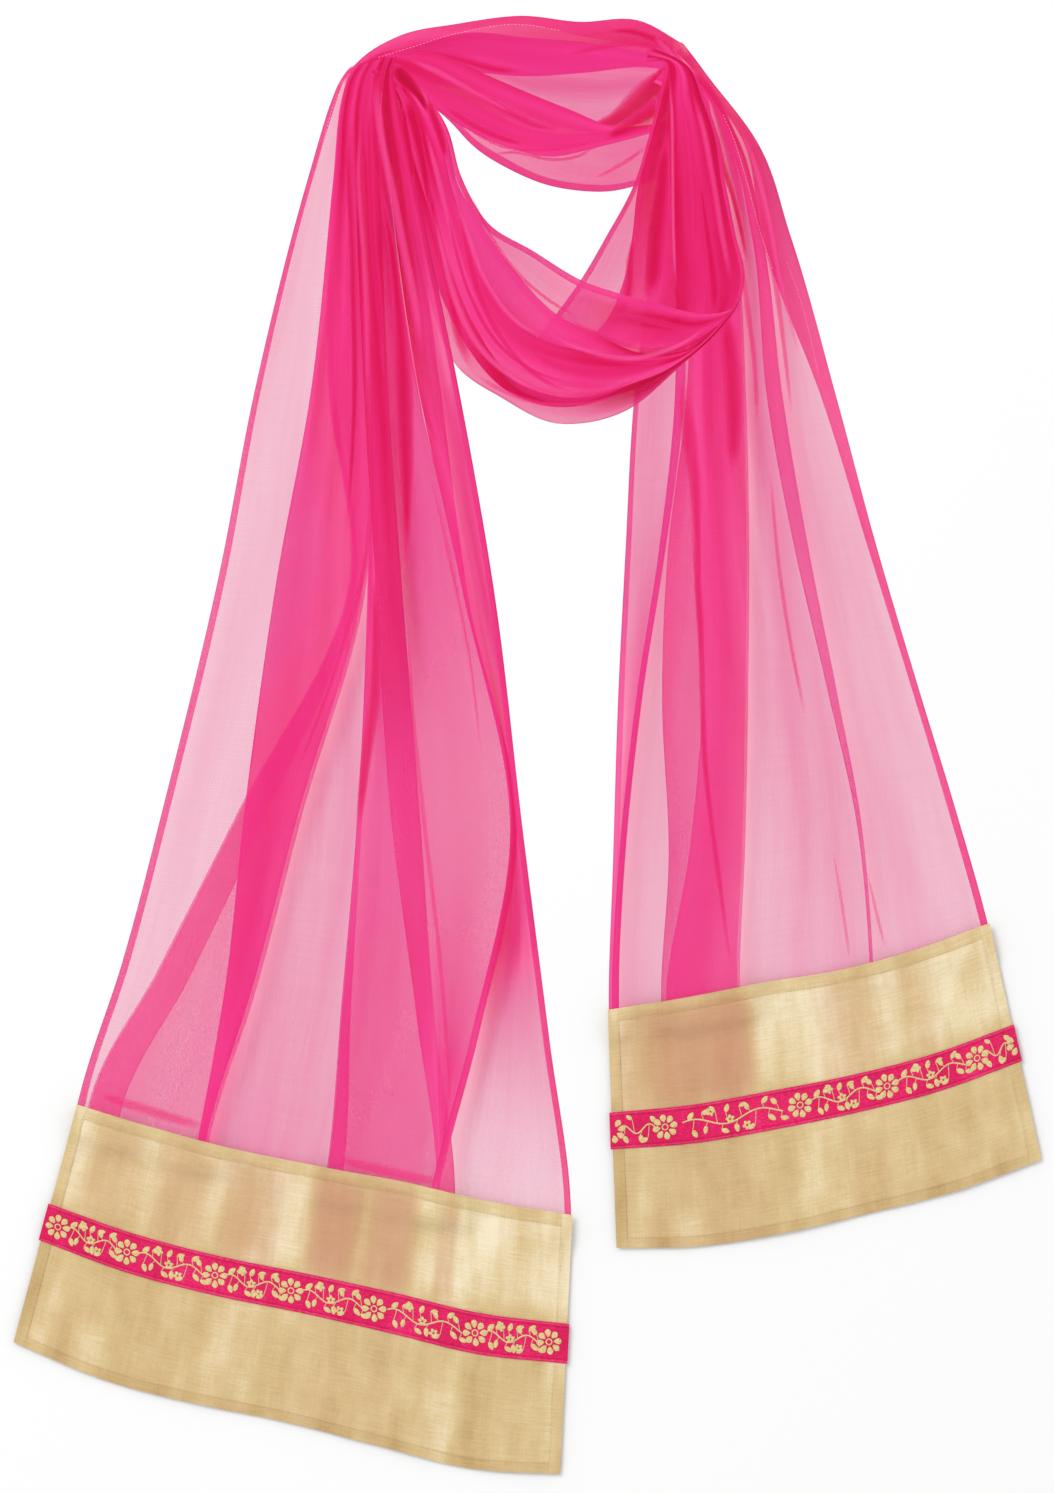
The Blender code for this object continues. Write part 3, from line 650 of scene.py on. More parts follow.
def tissue_material(name):
    """Gold tissue, a satin of silk warp and metallic weft: pale, streaked and softly shining."""
    _, border, _ = settings()
    material, tree, shader = new_material(name)
    uv = cut_place(tree)
    blush, fold = point_values(tree, "blush", "panel_shade_and_tone")
    # Weft of 0.2 mm is too fine to show, so its slubs are drawn 1.1 mm wide
    slub = streaks(tree, uv, 1.1, 24.0, 3.0)
    warp = streaks(tree, uv, 26.0, 1.3)
    broad = streaks(tree, uv, 150.0, 26.0)
    cloudy = streaks(tree, uv, 34.0, 22.0, 3.0)
    watered = watered_rings(tree, uv, fineness=80.0, wander=18.0, detail_scale=0.9)
    tone = sum_of(tree, 0.50, (slub, 0.28), (warp, 0.16), (broad, 0.65), (cloudy, 0.45), (watered, 0.05))
    # The panel's tone darkens the gold with painted shade on its folds and puckers, and with its hems; where
    # the floor shows through it is paler
    gold = colour_steps(tree, compute(tree, "SUBTRACT", tone, fold), (0.0, "#B28F58"), (0.35, "#CBAE7A"),
                        (0.6, border.gold), (1.0, "#F2E4C4"))
    height = sum_of(tree, 0.5, (slub, 0.6), (warp, 0.3), (cloudy, 0.6))
    facing = grain(tree, 0.18, height, Normal=levelled(tree, 0.3))
    # Pleats of pink organza behind the tissue tint it
    dress(tree, shader, mixed(tree, blush, gold, "#C57F6B"), facing, roughness=0.48, specular=0.3)
    shader.inputs["Metallic"].default_value = 0.12
    return material


def ribbon_material(name):
    """Jacquard ribbon ground, a satin weave: strong crimson pink with a dull shine."""
    _, border, _ = settings()
    material, tree, shader = new_material(name)
    uv = cut_place(tree)
    edge, = point_values(tree, "selvedge")
    # Satin floats of 0.4 mm are drawn 0.9 mm wide so that they show
    weave = streaks(tree, uv, 0.9, 2.6)
    broad = streaks(tree, uv, 40.0, 18.0)
    tone = compute(tree, "SUBTRACT", sum_of(tree, 0.46, (weave, 0.9), (broad, 0.6)), edge)
    ground = colour_steps(tree, tone, (0.0, "#B5083F"), (0.5, border.ribbon), (1.0, "#EE4A85"))
    dress(tree, shader, ground, grain(tree, 0.25, weave), roughness=0.55, specular=0.2)
    return material


def dots(tree, fineness, detail):
    """Noise in blots about 1 / fineness metres wide, the same in every direction."""
    place = add_node(tree, "ShaderNodeTexCoord").outputs["Object"]
    noise = add_node(tree, "ShaderNodeTexNoise", {"Scale": fineness, "Detail": detail}, {"Vector": place})
    return noise.outputs[0]


def thread_material(name, colour, shade):
    """Twisted floss: two close tones along each thread, with a soft shine."""
    material, tree, shader = new_material(name)
    # One twist of the floss is about 1.1 mm long
    twist = dots(tree, 900.0, 2.0)
    tone = colour_steps(tree, sum_of(tree, 0.5, (twist, 2.2)), (0.0, shade), (1.0, colour))
    dress(tree, shader, tone, grain(tree, 0.3, twist), roughness=0.5, specular=0.25)
    return material


def shared_material(name, make, *tones):
    """The material of that name, made once."""
    return bpy.data.materials.get(name) or make(name, *tones)


# Plan: from chart squares to millimetres, and smooth lines through the tables

def chart(points):
    """Chart squares to mm: x from the chart's middle, y turned upwards, both moved to the centre."""
    points = np.asarray(points, dtype=float)
    x = (points[..., 0] - CHART_MIDDLE[0]) * CHART_MM - CENTRE_SHIFT_MM[0]
    y = (CHART_MIDDLE[1] - points[..., 1]) * CHART_MM - CENTRE_SHIFT_MM[1]
    return np.stack([x, y], axis=-1)


def smooth_lines(rows, step_mm):
    """Carry each row's points on a smooth curve to even sections about step_mm apart.

    A cubic runs between neighbouring stations, and its slope at a station is the mean of the
    slopes on either side, weighted towards the nearer neighbour. All rows share one spacing.
    """
    points = np.array(rows, dtype=float)
    steps = np.linalg.norm(np.diff(points, axis=1), axis=2).mean(axis=0)
    marks = np.concatenate(([0.0], np.cumsum(steps)))
    slopes = np.diff(points, axis=1) / steps[None, :, None]
    tangents = np.empty_like(points)
    before, after = steps[:-1, None], steps[1:, None]
    tangents[:, 1:-1] = (slopes[:, 1:] * before + slopes[:, :-1] * after) / (before + after)
    tangents[:, 0], tangents[:, -1] = slopes[:, 0], slopes[:, -1]
    wanted = np.linspace(0.0, marks[-1], int(marks[-1] / step_mm) + 2)
    index = np.clip(np.searchsorted(marks, wanted, side="right") - 1, 0, len(steps) - 1)
    length = steps[index]
    t = ((wanted - marks[index]) / length)[None, :, None]
    length = length[None, :, None]
    start, end = points[:, index], points[:, index + 1]
    return ((2 * t**3 - 3 * t**2 + 1) * start + (t**3 - 2 * t**2 + t) * tangents[:, index] * length
            + (3 * t**2 - 2 * t**3) * end + (t**3 - t**2) * tangents[:, index + 1] * length)


def table_points(table):
    """The points of each row of a table, without the row's name."""
    return chart([row[1:] for row in table])


def tail_rows(stations, folds, edges):
    """Points of each fold of a tail, from its x and the slant of each station between its edges."""
    left_y, right_y, sag = np.array([row[1:] for row in stations], dtype=float).T
    names = [row[0] for row in folds]
    x = np.array([row[1:] for row in folds], dtype=float)
    left, right = (x[names.index(edge)] for edge in edges)
    share = (x - left) / (right - left)
    y = left_y + (right_y - left_y) * share + sag * 4 * share * (1 - share)
    return chart(np.stack([x, y], axis=2))


def travelled(line):
    """How far along a line each of its points lies."""
    return np.concatenate(([0.0], np.cumsum(np.linalg.norm(np.diff(line, axis=0), axis=1))))


def point_at(line, far, place):
    """The points of a line at some distances along it, where far is how far its own points lie."""
    return np.stack([np.interp(place, far, line[:, k]) for k in (0, 1)], axis=-1)


# The heap: how high the cloth laid so far stands

class Heap:
    """A map of heights in mm over the whole layout, one number for each cell.

    A cell is cell mm wide, and the map is twice half mm wide and deep. Its cover is averaged over
    reach cells to each side, and what is laid is drawn with points at most drawn cells apart.
    """
    cell = 2.0
    half = (420.0, 580.0)
    reach = 2
    drawn = 0.6

    def __init__(self):
        shape = (int(2 * self.half[1] / self.cell) + 1, int(2 * self.half[0] / self.cell) + 1)
        self.top = np.zeros(shape)

    def places(self):
        """x and y of every cell's middle."""
        y, x = np.mgrid[:self.top.shape[0], :self.top.shape[1]] * self.cell
        return x - self.half[0], y - self.half[1]

    def cover(self):
        """A smooth cover over the heap: the highest near each cell, then averaged twice."""
        wide = range(-2 * self.reach, 2 * self.reach + 1)
        near = range(-self.reach, self.reach + 1)
        field = self.top
        for axis in (0, 1):
            field = np.maximum.reduce([np.roll(field, s, axis) for s in wide])
        for _ in range(2):
            for axis in (0, 1):
                field = sum(np.roll(field, s, axis) for s in near) / len(near)
        return field

    def read(self, field, x, y):
        """Read a field between its cells, in proportion to the distance from each."""
        column, row = (x + self.half[0]) / self.cell, (y + self.half[1]) / self.cell
        c, r = column.astype(int), row.astype(int)
        u, v = column - c, row - r
        return ((field[r, c] * (1 - u) + field[r, c + 1] * u) * (1 - v)
                + (field[r + 1, c] * (1 - u) + field[r + 1, c + 1] * u) * v)

    def lay(self, points):
        """Enter a laid grid: it is drawn finer than the cells, and each cell keeps the highest."""
        for axis in (0, 1):
            gap = np.linalg.norm(np.diff(points, axis=axis), axis=-1).max()
            count = (points.shape[axis] - 1) * (int(gap / (self.drawn * self.cell)) + 1) + 1
            at = np.linspace(0, points.shape[axis] - 1, count)
            low = np.minimum(at.astype(int), points.shape[axis] - 2)
            part = np.expand_dims(at - low, [k for k in range(3) if k != axis])
            points = np.take(points, low, axis) * (1 - part) + np.take(points, low + 1, axis) * part
        c = np.rint((points[..., 0] + self.half[0]) / self.cell).astype(int)
        r = np.rint((points[..., 1] + self.half[1]) / self.cell).astype(int)
        np.maximum.at(self.top, (r, c), points[..., 2])


HEAP = Heap()

# A grid of points in mm, with its places across and along the cut in mm, and values at its points
Grid = namedtuple("Grid", "points across along values")


def raise_creases(name):
    """Lift the ground under a stretch into soft creases that fan out from one point.

    Height is the sum of two sines of the bearing from that point, with uneven phases, and it
    grows with the distance from it.
    """
    centre, count, height = FANS[name]
    centre = chart(centre)
    x, y = HEAP.places()
    bearing = np.arctan2(x - centre[0], centre[1] - y)
    away = np.hypot(x - centre[0], y - centre[1]) / CREASE_RUN_MM
    broad = 0.3 * np.sin(count * bearing + 2.0 * np.sin(7 * bearing))
    fine = 0.2 * np.sin(2.3 * count * bearing + 1.3)
    return height * (0.5 + broad + fine) * np.clip(away, 0, 1)


def lay_strips(lines, densities, layer_mm, turn_mm, falls, ground=None, pitch_mm=STRIP_STEP_MM):
    """Lay a stretch: strips between neighbouring fold lines, each on the cover of the heap.

    A strip stops turn_mm short of its fold lines, and a half ellipse joins it to the next one.
    Where it narrows, the same cloth is squeezed into less room, so it gets denser by its widest
    width over its width there, to a power. Its pink deepens with the heap below, partly for the many
    layers and partly as painted shade. It is painted duller where thin cloth lies alone on the ground,
    a painted shadow of the sheet on the floor, though not in the hems, which are the first strip and,
    on a stretch that doesn't fall at its far end, the last.

    falls says for each end whether the cloth runs on from there beneath others. At such an end no
    strip is higher than FALL_SLOPE times its distance from the end and a little more.
    """
    blocks, across = [], []
    values = {"cloth_layers": [], "pink_depth_shade_highlight": [], "crumple": [], "alone": []}
    start = 0.0
    last = len(lines) - 2
    for index in range(last + 1):
        line, following = lines[index], lines[index + 1]
        gap = following - line
        width = np.linalg.norm(gap, axis=1)
        inset = np.minimum(turn_mm / width, MOST_INSET)
        low = inset if index > 0 else np.zeros_like(inset)
        high = 1 - inset if index < last else np.ones_like(inset)
        part = np.linspace(0.0, 1.0, max(2, int(width.max() / pitch_mm) + 1) + 1)
        share = low[:, None] + (high - low)[:, None] * part
        plan = line[:, None] + gap[:, None] * share[..., None]
        field = HEAP.cover()
        if ground is not None:
            field = np.maximum(field, ground)
        below = HEAP.read(field, plan[..., 0], plan[..., 1])
        down = travelled((line + following) / 2)
        never = np.full_like(down, np.inf)
        room = np.minimum(down if falls[0] else never, down[-1] - down if falls[1] else never)
        ceiling = FALL_END_MM + FALL_STEP_MM * index + FALL_SLOPE * room
        height = np.minimum(below + layer_mm, ceiling[:, None])
        strip = np.concatenate([plan, height[..., None]], axis=2)
        HEAP.lay(strip)
        first, second, gathering, foot = densities[index]
        squeeze = np.minimum((width.max() / width) ** gathering, MOST_SQUEEZE)[:, None]
        squeeze = squeeze * np.interp(np.linspace(0, 1, len(line)), THINS_BETWEEN, (1, foot))[:, None]
        narrowing = np.clip(1 - width / width.max(), 0, MOST_NARROWING)[:, None]
        most = 1.0 if 0 < index < last or (index == last and falls[1]) else 0.0
        thin = np.clip(THIN_UNDER - squeeze * min(first, second), 0, most)
        new = {
            "cloth_layers": squeeze * (first + (second - first) * part),
            "pink_depth_shade_highlight": np.clip((below / layer_mm - DEEPER_FROM) / DEEPER_OVER, 0, MOST_DEEPER),
            "crumple": narrowing * min(gathering, MOST_GATHERING) + 0 * part,
            "alone": np.clip(1 - below / (ALONE_UNDER * layer_mm), 0, 1) * thin,
        }
        strip_across = start + width.mean() * share
        if index > 0:
            before, after = blocks[-1][:, -1], strip[:, 0]
            outward = np.concatenate([-gap / width[:, None], np.zeros((len(gap), 1))], axis=1)
            for angle in (-math.pi / 4, 0, math.pi / 4):
                middle = before + (after - before) * (0.5 + 0.5 * math.sin(angle))
                bulge = middle + outward * (inset * width * math.cos(angle))[:, None]
                blocks.append(bulge[:, None])
                across.append((strip_across[:, :1] + across[-1][:, -1:]) / 2)
                for key, parts in values.items():
                    parts.append((new[key][:, :1] + parts[-1][:, -1:]) / 2)
        blocks.append(strip)
        across.append(strip_across)
        for key, parts in values.items():
            parts.append(new[key])
        start += width.mean()
    points = np.concatenate(blocks, axis=1)
    along = travelled(points.mean(axis=1))[:, None]
    return Grid(points, np.concatenate(across, axis=1), along,
                {key: np.concatenate(parts, axis=1) for key, parts in values.items()})


def lay_tuck(row, order):
    """A narrow tuck or hollow along its points, thickest in its middle and thinning to its ends.

    Its layers fall off as 1 - s^2 across, s going from -1 to 1, and over its first and last fifth.
    Its depth of pink, painted shade in a hollow and a painted highlight on a ridge, falls off alike.
    """
    layers, depth, *points = row
    spots = np.array(points, dtype=float)
    middle, width = chart(spots[:, :2]), spots[:, 2] * CHART_MM
    heading = np.gradient(middle, axis=0)
    heading /= np.linalg.norm(heading, axis=1, keepdims=True)
    aside = np.stack([-heading[:, 1], heading[:, 0]], axis=1) * width[:, None] / 2
    left, right = smooth_lines([middle - aside, middle + aside], 4.0)
    s = np.linspace(-1.0, 1.0, 7)
    plan = (left + right)[:, None] / 2 + (right - left)[:, None] / 2 * s[:, None]
    height = HEAP.read(HEAP.cover(), plan[..., 0], plan[..., 1]) + TUCK_RISE_MM + TUCK_STEP_MM * order
    grid = np.concatenate([plan, height[..., None]], axis=2)
    along = travelled((left + right) / 2)
    share = along / along[-1]
    fade = np.clip(np.minimum(share, 1 - share) * 5, 0, 1)
    fade = fade * fade * (3 - 2 * fade)
    thickness = layers * fade[:, None] * (1 - s**2)
    across = TUCK_PLACE_MM + TUCK_APART_MM * order + TUCK_HALF_MM * s[None, :] + 0 * thickness
    return Grid(grid, across, along[:, None],
                {"cloth_layers": thickness, "pink_depth_shade_highlight": depth * fade[:, None] * (1.1 - s**2),
                 "crumple": 0.1 + 0 * thickness, "alone": 0 * thickness})


def slant(points):
    """How much longer light's way through the sheet is where it slopes: 1 over how level it is."""
    along = np.gradient(points, axis=0)
    over = np.gradient(points, axis=1)
    normal = np.cross(along, over)
    level = np.abs(normal[..., 2]) / np.maximum(np.linalg.norm(normal, axis=2), 1e-9)
    return np.clip(1 / np.maximum(level, 0.2), 1.0, MOST_SLANT)


def link_mesh(name, verts, faces, material, smooth=True):
    """A mesh object from arrays in mm, at the origin."""
    mesh = bpy.data.meshes.new(name)
    mesh.from_pydata((verts * MM).tolist(), [], faces.tolist())
    mesh.polygons.foreach_set("use_smooth", np.full(len(faces), smooth))
    mesh.materials.append(material)
    mesh.update()
    made = bpy.data.objects.new(name, mesh)
    bpy.context.scene.collection.objects.link(made)
    return made


def grid_faces(rows, columns):
    """Four corners of each square of a grid of points that are numbered row by row."""
    grid = np.arange(rows * columns).reshape(rows, columns)
    return np.stack([grid[:-1, :-1], grid[1:, :-1], grid[1:, 1:], grid[:-1, 1:]], axis=-1).reshape(-1, 4)


def sheet_object(name, grids, material):
    """Grids of one piece of cloth as a smooth single sheet, with a UV in metres on the cut."""
    verts, faces, flat = [], [], []
    values = {key: [] for key in grids[0].values}
    count = 0
    for grid in grids:
        rows, columns = grid.points.shape[:2]
        verts.append(grid.points.reshape(-1, 3))
        faces.append(grid_faces(rows, columns) + count)
        places = np.stack(np.broadcast_arrays(grid.across, grid.along), axis=-1)
        flat.append(np.broadcast_to(places, (rows, columns, 2)).reshape(-1, 2) * MM)
        for key, parts in values.items():
            parts.append(np.broadcast_to(grid.values[key], (rows, columns)).ravel())
        count += rows * columns
    verts, faces, flat = (np.concatenate(parts) for parts in (verts, faces, flat))
    made = link_mesh(name, verts, faces, material)
    uv = made.data.uv_layers.new(name="UVMap")
    uv.data.foreach_set("uv", flat[faces.ravel()].astype(np.float32).ravel())
    for key, parts in values.items():
        layer = made.data.attributes.new(key, "FLOAT", "POINT")
        layer.data.foreach_set("value", np.concatenate(parts).astype(np.float32))
    return made


def lay_stretch(name, node, rows, densities):
    """One stretch of the body cloth, laid as a sheet, with the CAD node it stands for hidden."""
    cloth, _, _ = settings()
    fade_in, fade_out, strands, deeper = LOOKS[node]
    lines = smooth_lines(rows, STRETCH_STEP_MM)
    # Every stretch starts under others, and those behind the neck end there too
    falls = (True, node.startswith("neck"))
    grid = lay_strips(lines, densities, cloth.layer / MM, cloth.turn / MM, falls, raise_creases(node))
    # The cloth runs on into the next stretch, so its ends fade out over it
    blend = np.ones_like(grid.along)
    for length, distance in ((fade_in, grid.along), (fade_out, grid.along[-1] - grid.along)):
        if length:
            blend = blend * np.clip(distance / length, 0, 1)
    blend = blend * blend * (3 - 2 * blend)
    grid.values["cloth_layers"] = grid.values["cloth_layers"] * slant(grid.points) * blend
    grid.values["crumple"] = grid.values["crumple"] + strands
    grid.values["pink_depth_shade_highlight"] = grid.values["pink_depth_shade_highlight"] + deeper
    tucks = [lay_tuck(row, order) for order, row in enumerate(TUCKS[node])]
    made = sheet_object(name, [grid, *tucks], shared_material("organza_silk_pink", organza_material))
    # Light that passes the cloth is reckoned in its layers, so it neither shades nor tints the floor
    made.visible_shadow = False
    made.visible_diffuse = False
    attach(made, "root")
    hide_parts(node)


def stitches(name, paths, thread, pitch_mm, length_mm, wide_mm, lift_mm):
    """Running stitches along paths: each is a flat bead, four-sided at both ends and its middle.

    A bead's ring is half as wide at its ends as at its middle, and its back sits on the cloth.
    """
    centres, headings = [], []
    for path in paths:
        line = smooth_lines([chart(path)], 2.0)[0]
        far = travelled(line)
        at = np.arange(0.5 * pitch_mm, far[-1], pitch_mm)
        place = point_at(line, far, at)
        # A bead points to where its path is half a millimetre further on
        step = point_at(line, far, at + 0.5) - place
        centres.append(place)
        headings.append(step / np.maximum(np.linalg.norm(step, axis=1, keepdims=True), 1e-6))
    centre, heading = np.concatenate(centres), np.concatenate(headings)
    height = HEAP.read(HEAP.cover(), centre[:, 0], centre[:, 1])
    aside = np.stack([-heading[:, 1], heading[:, 0]], axis=1)
    # Rings: place along, half width, and height of the four corners, in shares of the sizes
    ring = np.array([(-1, 0.5, 0.3), (0, 1.0, 1.0), (1, 0.5, 0.3)])
    corner = np.array([(-1, 0), (-1, 1), (1, 1), (1, 0)])
    along = ring[:, None, 0] * length_mm / 2 + 0 * corner[:, 0]
    side = ring[:, None, 1] * corner[:, 0] * wide_mm / 2
    up = ring[:, None, 2] * corner[:, 1] * wide_mm
    xy = (centre[:, None, None] + heading[:, None, None] * along[..., None]
          + aside[:, None, None] * side[..., None])
    z = height[:, None, None] + lift_mm + up
    verts = np.concatenate([xy, z[..., None]], axis=3).reshape(-1, 3)
    ring_faces = [(r * 4 + k, r * 4 + (k + 1) % 4, (r + 1) * 4 + (k + 1) % 4, (r + 1) * 4 + k)
                  for r in (0, 1) for k in range(4)] + [(3, 2, 1, 0), (8, 9, 10, 11)]
    faces = (np.array(ring_faces)[None] + 12 * np.arange(len(centre))[:, None, None]).reshape(-1, 4)
    made = link_mesh(name, verts, faces, thread, smooth=False)
    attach(made, "root")
    return made


# Gold panels and their ribbons

def panel_lines(edges, start, end, proud_mm, step_mm=RIBBON_STEP_MM):
    """Two lines across a panel at shares of its depth, drawn out past its sides."""
    seam, bottom = smooth_lines(table_points(edges), step_mm)
    lines = np.array([seam + (bottom - seam) * share for share in (start, end)])
    for line in lines:
        line[0] += (line[0] - line[1]) / np.linalg.norm(line[0] - line[1]) * proud_mm
        line[-1] += (line[-1] - line[-2]) / np.linalg.norm(line[-1] - line[-2]) * proud_mm
    return lines


def chart_path(line):
    """A line in mm back to chart squares."""
    return np.stack([(line[:, 0] + CENTRE_SHIFT_MM[0]) / CHART_MM + CHART_MIDDLE[0],
                     CHART_MIDDLE[1] - (line[:, 1] + CENTRE_SHIFT_MM[1]) / CHART_MM], axis=1)


def lay_panel(edges, band, blush, hem_mm):
    """A gold panel as laid: the sheet, and its turned hems as a second layer along its four sides.

    It sinks and rises in soft folds that run down it, a sum of sines of the place along the seam,
    and puckers stand along both edges of the ribbon: sines of uneven pitch that die away with the
    distance from it. Both come back as painted shade too, darker where the tissue turns away.
    """
    step_along, step_down = PANEL_STEPS_MM
    seam, bottom = panel_lines(edges, 0.0, 1.0, 0.0, step_along)
    far = travelled((seam + bottom) / 2)
    depth = np.linalg.norm(bottom - seam, axis=1).mean()
    down = np.linspace(0.0, 1.0, int(depth / step_down) + 2)

    def surface(rows, share, lift):
        """Points, tone, tint and places of a part: rows of its length and shares of its depth."""
        plan = seam[rows, None] + (bottom - seam)[rows, None] * share[None, :, None]
        x = far[rows][:, None]
        broad = 0.55 * np.sin(x / 17 + 1.3 * np.sin(x / 61))
        fine = 0.45 * np.sin(x / 9.5 + 2 * np.sin(x / 37) + 1.0)
        bend = (0.5 + 0.5 * share)[None, :] * (broad + fine)
        near = np.minimum(np.abs(share - band[0]), np.abs(share - band[1]))[None, :] * depth
        uneven = np.sin(x / 1.9 + 2.5 * np.sin(x / 13)) + 0.7 * np.sin(x / 3.1 + 1.7)
        pucker = np.exp(-near / PUCKER_RUN_MM) * uneven
        ground = HEAP.read(HEAP.cover(), plan[..., 0], plan[..., 1])
        # The seam is sewn down, so the folds start there from nothing
        folds = PANEL_FOLD_MM * (1 + bend) * np.minimum(share * 6, 1)
        height = ground + PANEL_RISE_MM + lift + folds + PUCKER_MM * (pucker + 1.7)
        width = x / far[-1]
        tint = sum(strength * np.exp(-((width - place) / spread) ** 4)
                   for place, spread, strength in blush)
        # The pink behind the panel fades to a trace under the ribbon, and is weaker at the seam
        tint = tint * np.clip((band[0] + 0.10 - share) / 0.16, 0.18, 1)[None, :]
        tint = tint * np.clip(share * 14, 0.25, 1)
        # Above the ribbon, between the pleats, the pale floor shines through
        paler = 0.30 * np.clip((band[0] - share) / 0.08, 0, 1)[None, :] * np.clip(1 - 1.6 * tint, 0, 1)
        # Painted shade: the tone darkens on the slopes of folds and puckers that turn away, and lightens on
        # the others
        turned = np.gradient(bend, axis=0) / np.gradient(x, axis=0)
        pucker_shade = np.gradient(pucker, axis=0) / np.gradient(x, axis=0)
        tone = turned + 0.07 * pucker_shade - paler
        points = np.concatenate([plan, height[..., None]], axis=2)
        return points, tone, 0.62 * tint, x, share[None, :] * depth

    everywhere = np.arange(len(far))
    hem = hem_mm / depth
    ends = int(np.searchsorted(far, hem_mm)) + 1
    # The whole panel, then its hems at the seam, the bottom and both sides, with lift and darkness
    parts = ((everywhere, down, 0.0, 0.0),
             (everywhere, np.linspace(0, 1.25 * hem, 5), 0.3, 0.24),
             (everywhere, np.linspace(1 - hem, 1, 5), 0.3, 0.15),
             (everywhere[:ends], down, 0.5, 0.16),
             (everywhere[-ends:], down, 0.5, 0.10))
    grids = []
    for rows, share, lift, darker in parts:
        points, tone, tint, along, across = surface(rows, share, lift)
        grids.append(Grid(points, across, along, {"panel_shade_and_tone": tone + darker, "blush": tint}))
    HEAP.lay(grids[0].points)
    return grids


def hem_paths(edges, hem_mm):
    """Stitch lines inside a panel's top, bottom and two sides, in chart squares."""
    seam, bottom = panel_lines(edges, 0.0, 1.0, 0.0)
    far = travelled((seam + bottom) / 2)
    share = hem_mm / np.linalg.norm(bottom - seam, axis=1).mean()
    paths = [chart_path(seam + (bottom - seam) * part)[2:-2:3] for part in (1.25 * share, 1 - share)]
    down = np.linspace(0.03, 0.97, 7)[:, None]
    for place in (hem_mm, far[-1] - hem_mm):
        top, foot = point_at(seam, far, place), point_at(bottom, far, place)
        paths.append(chart_path(top + (foot - top) * down))
    return paths


def on_ribbon(lines, height, u, v):
    """Place in mm of a point u mm along the ribbon's middle and v mm above it."""
    top, foot = lines
    middle = (top + foot) / 2
    far = travelled(middle)
    half = np.linalg.norm(top - foot, axis=1).mean() / 2
    share = (0.5 - 0.5 * v / half)[..., None]
    place = point_at(top, far, u) * (1 - share) + point_at(foot, far, u) * share
    z = np.interp(u, far, height)
    return np.concatenate([place, z[..., None]], axis=-1)


def petals(base_u, base_v, turn, length, width, tip=0.9):
    """Crowned petal or leaf patches in ribbon places: u, v and height over the ribbon.

    A patch is as wide as sin(pi s^e) at share s of its length, with e over 1 for a patch that is
    broadest near its tip, and stands up as 1 - t^2 across.
    """
    s, t = np.meshgrid(np.linspace(0.0, 1.0, 8), np.linspace(-1, 1, 5), indexing="ij")
    reach = s[None] * length[:, None, None]
    side = t[None] * np.clip(np.sin(np.pi * s ** tip), 0.0, 1)[None] ** 0.6 * width[:, None, None] / 2
    c, d = np.cos(turn)[:, None, None], np.sin(turn)[:, None, None]
    u = base_u[:, None, None] + reach * c - side * d
    v = base_v[:, None, None] + reach * d + side * c
    return u, v, PETAL_LIFT_MM + PETAL_CROWN_MM * (1 - t**2) * np.sin(np.pi * s) + 0 * u


def vine_places(start, end):
    """The vine between two flowers: one and a half waves, its ends close to the flowers."""
    share = np.linspace(0.13, 0.87, 26)
    wave = np.sin(3 * np.pi * (share - 0.13) / 0.74 + 0.6)
    return start + (end - start) * share, VINE_WAVE_MM * wave


def thread_band(u, v, width, lift):
    """A raised thread along places on the ribbon: three points across, the middle one higher."""
    step = np.stack([np.gradient(u), np.gradient(v)], axis=1)
    step /= np.linalg.norm(step, axis=1, keepdims=True)
    t = np.array([-1.0, 0.0, 1.0])
    band = (u[:, None] - step[:, 1:] * t * width / 2, v[:, None] + step[:, :1] * t * width / 2,
            lift + THREAD_CROWN_MM * (1 - t**2)[None] + 0 * u[:, None])
    return tuple(part[None] for part in band)


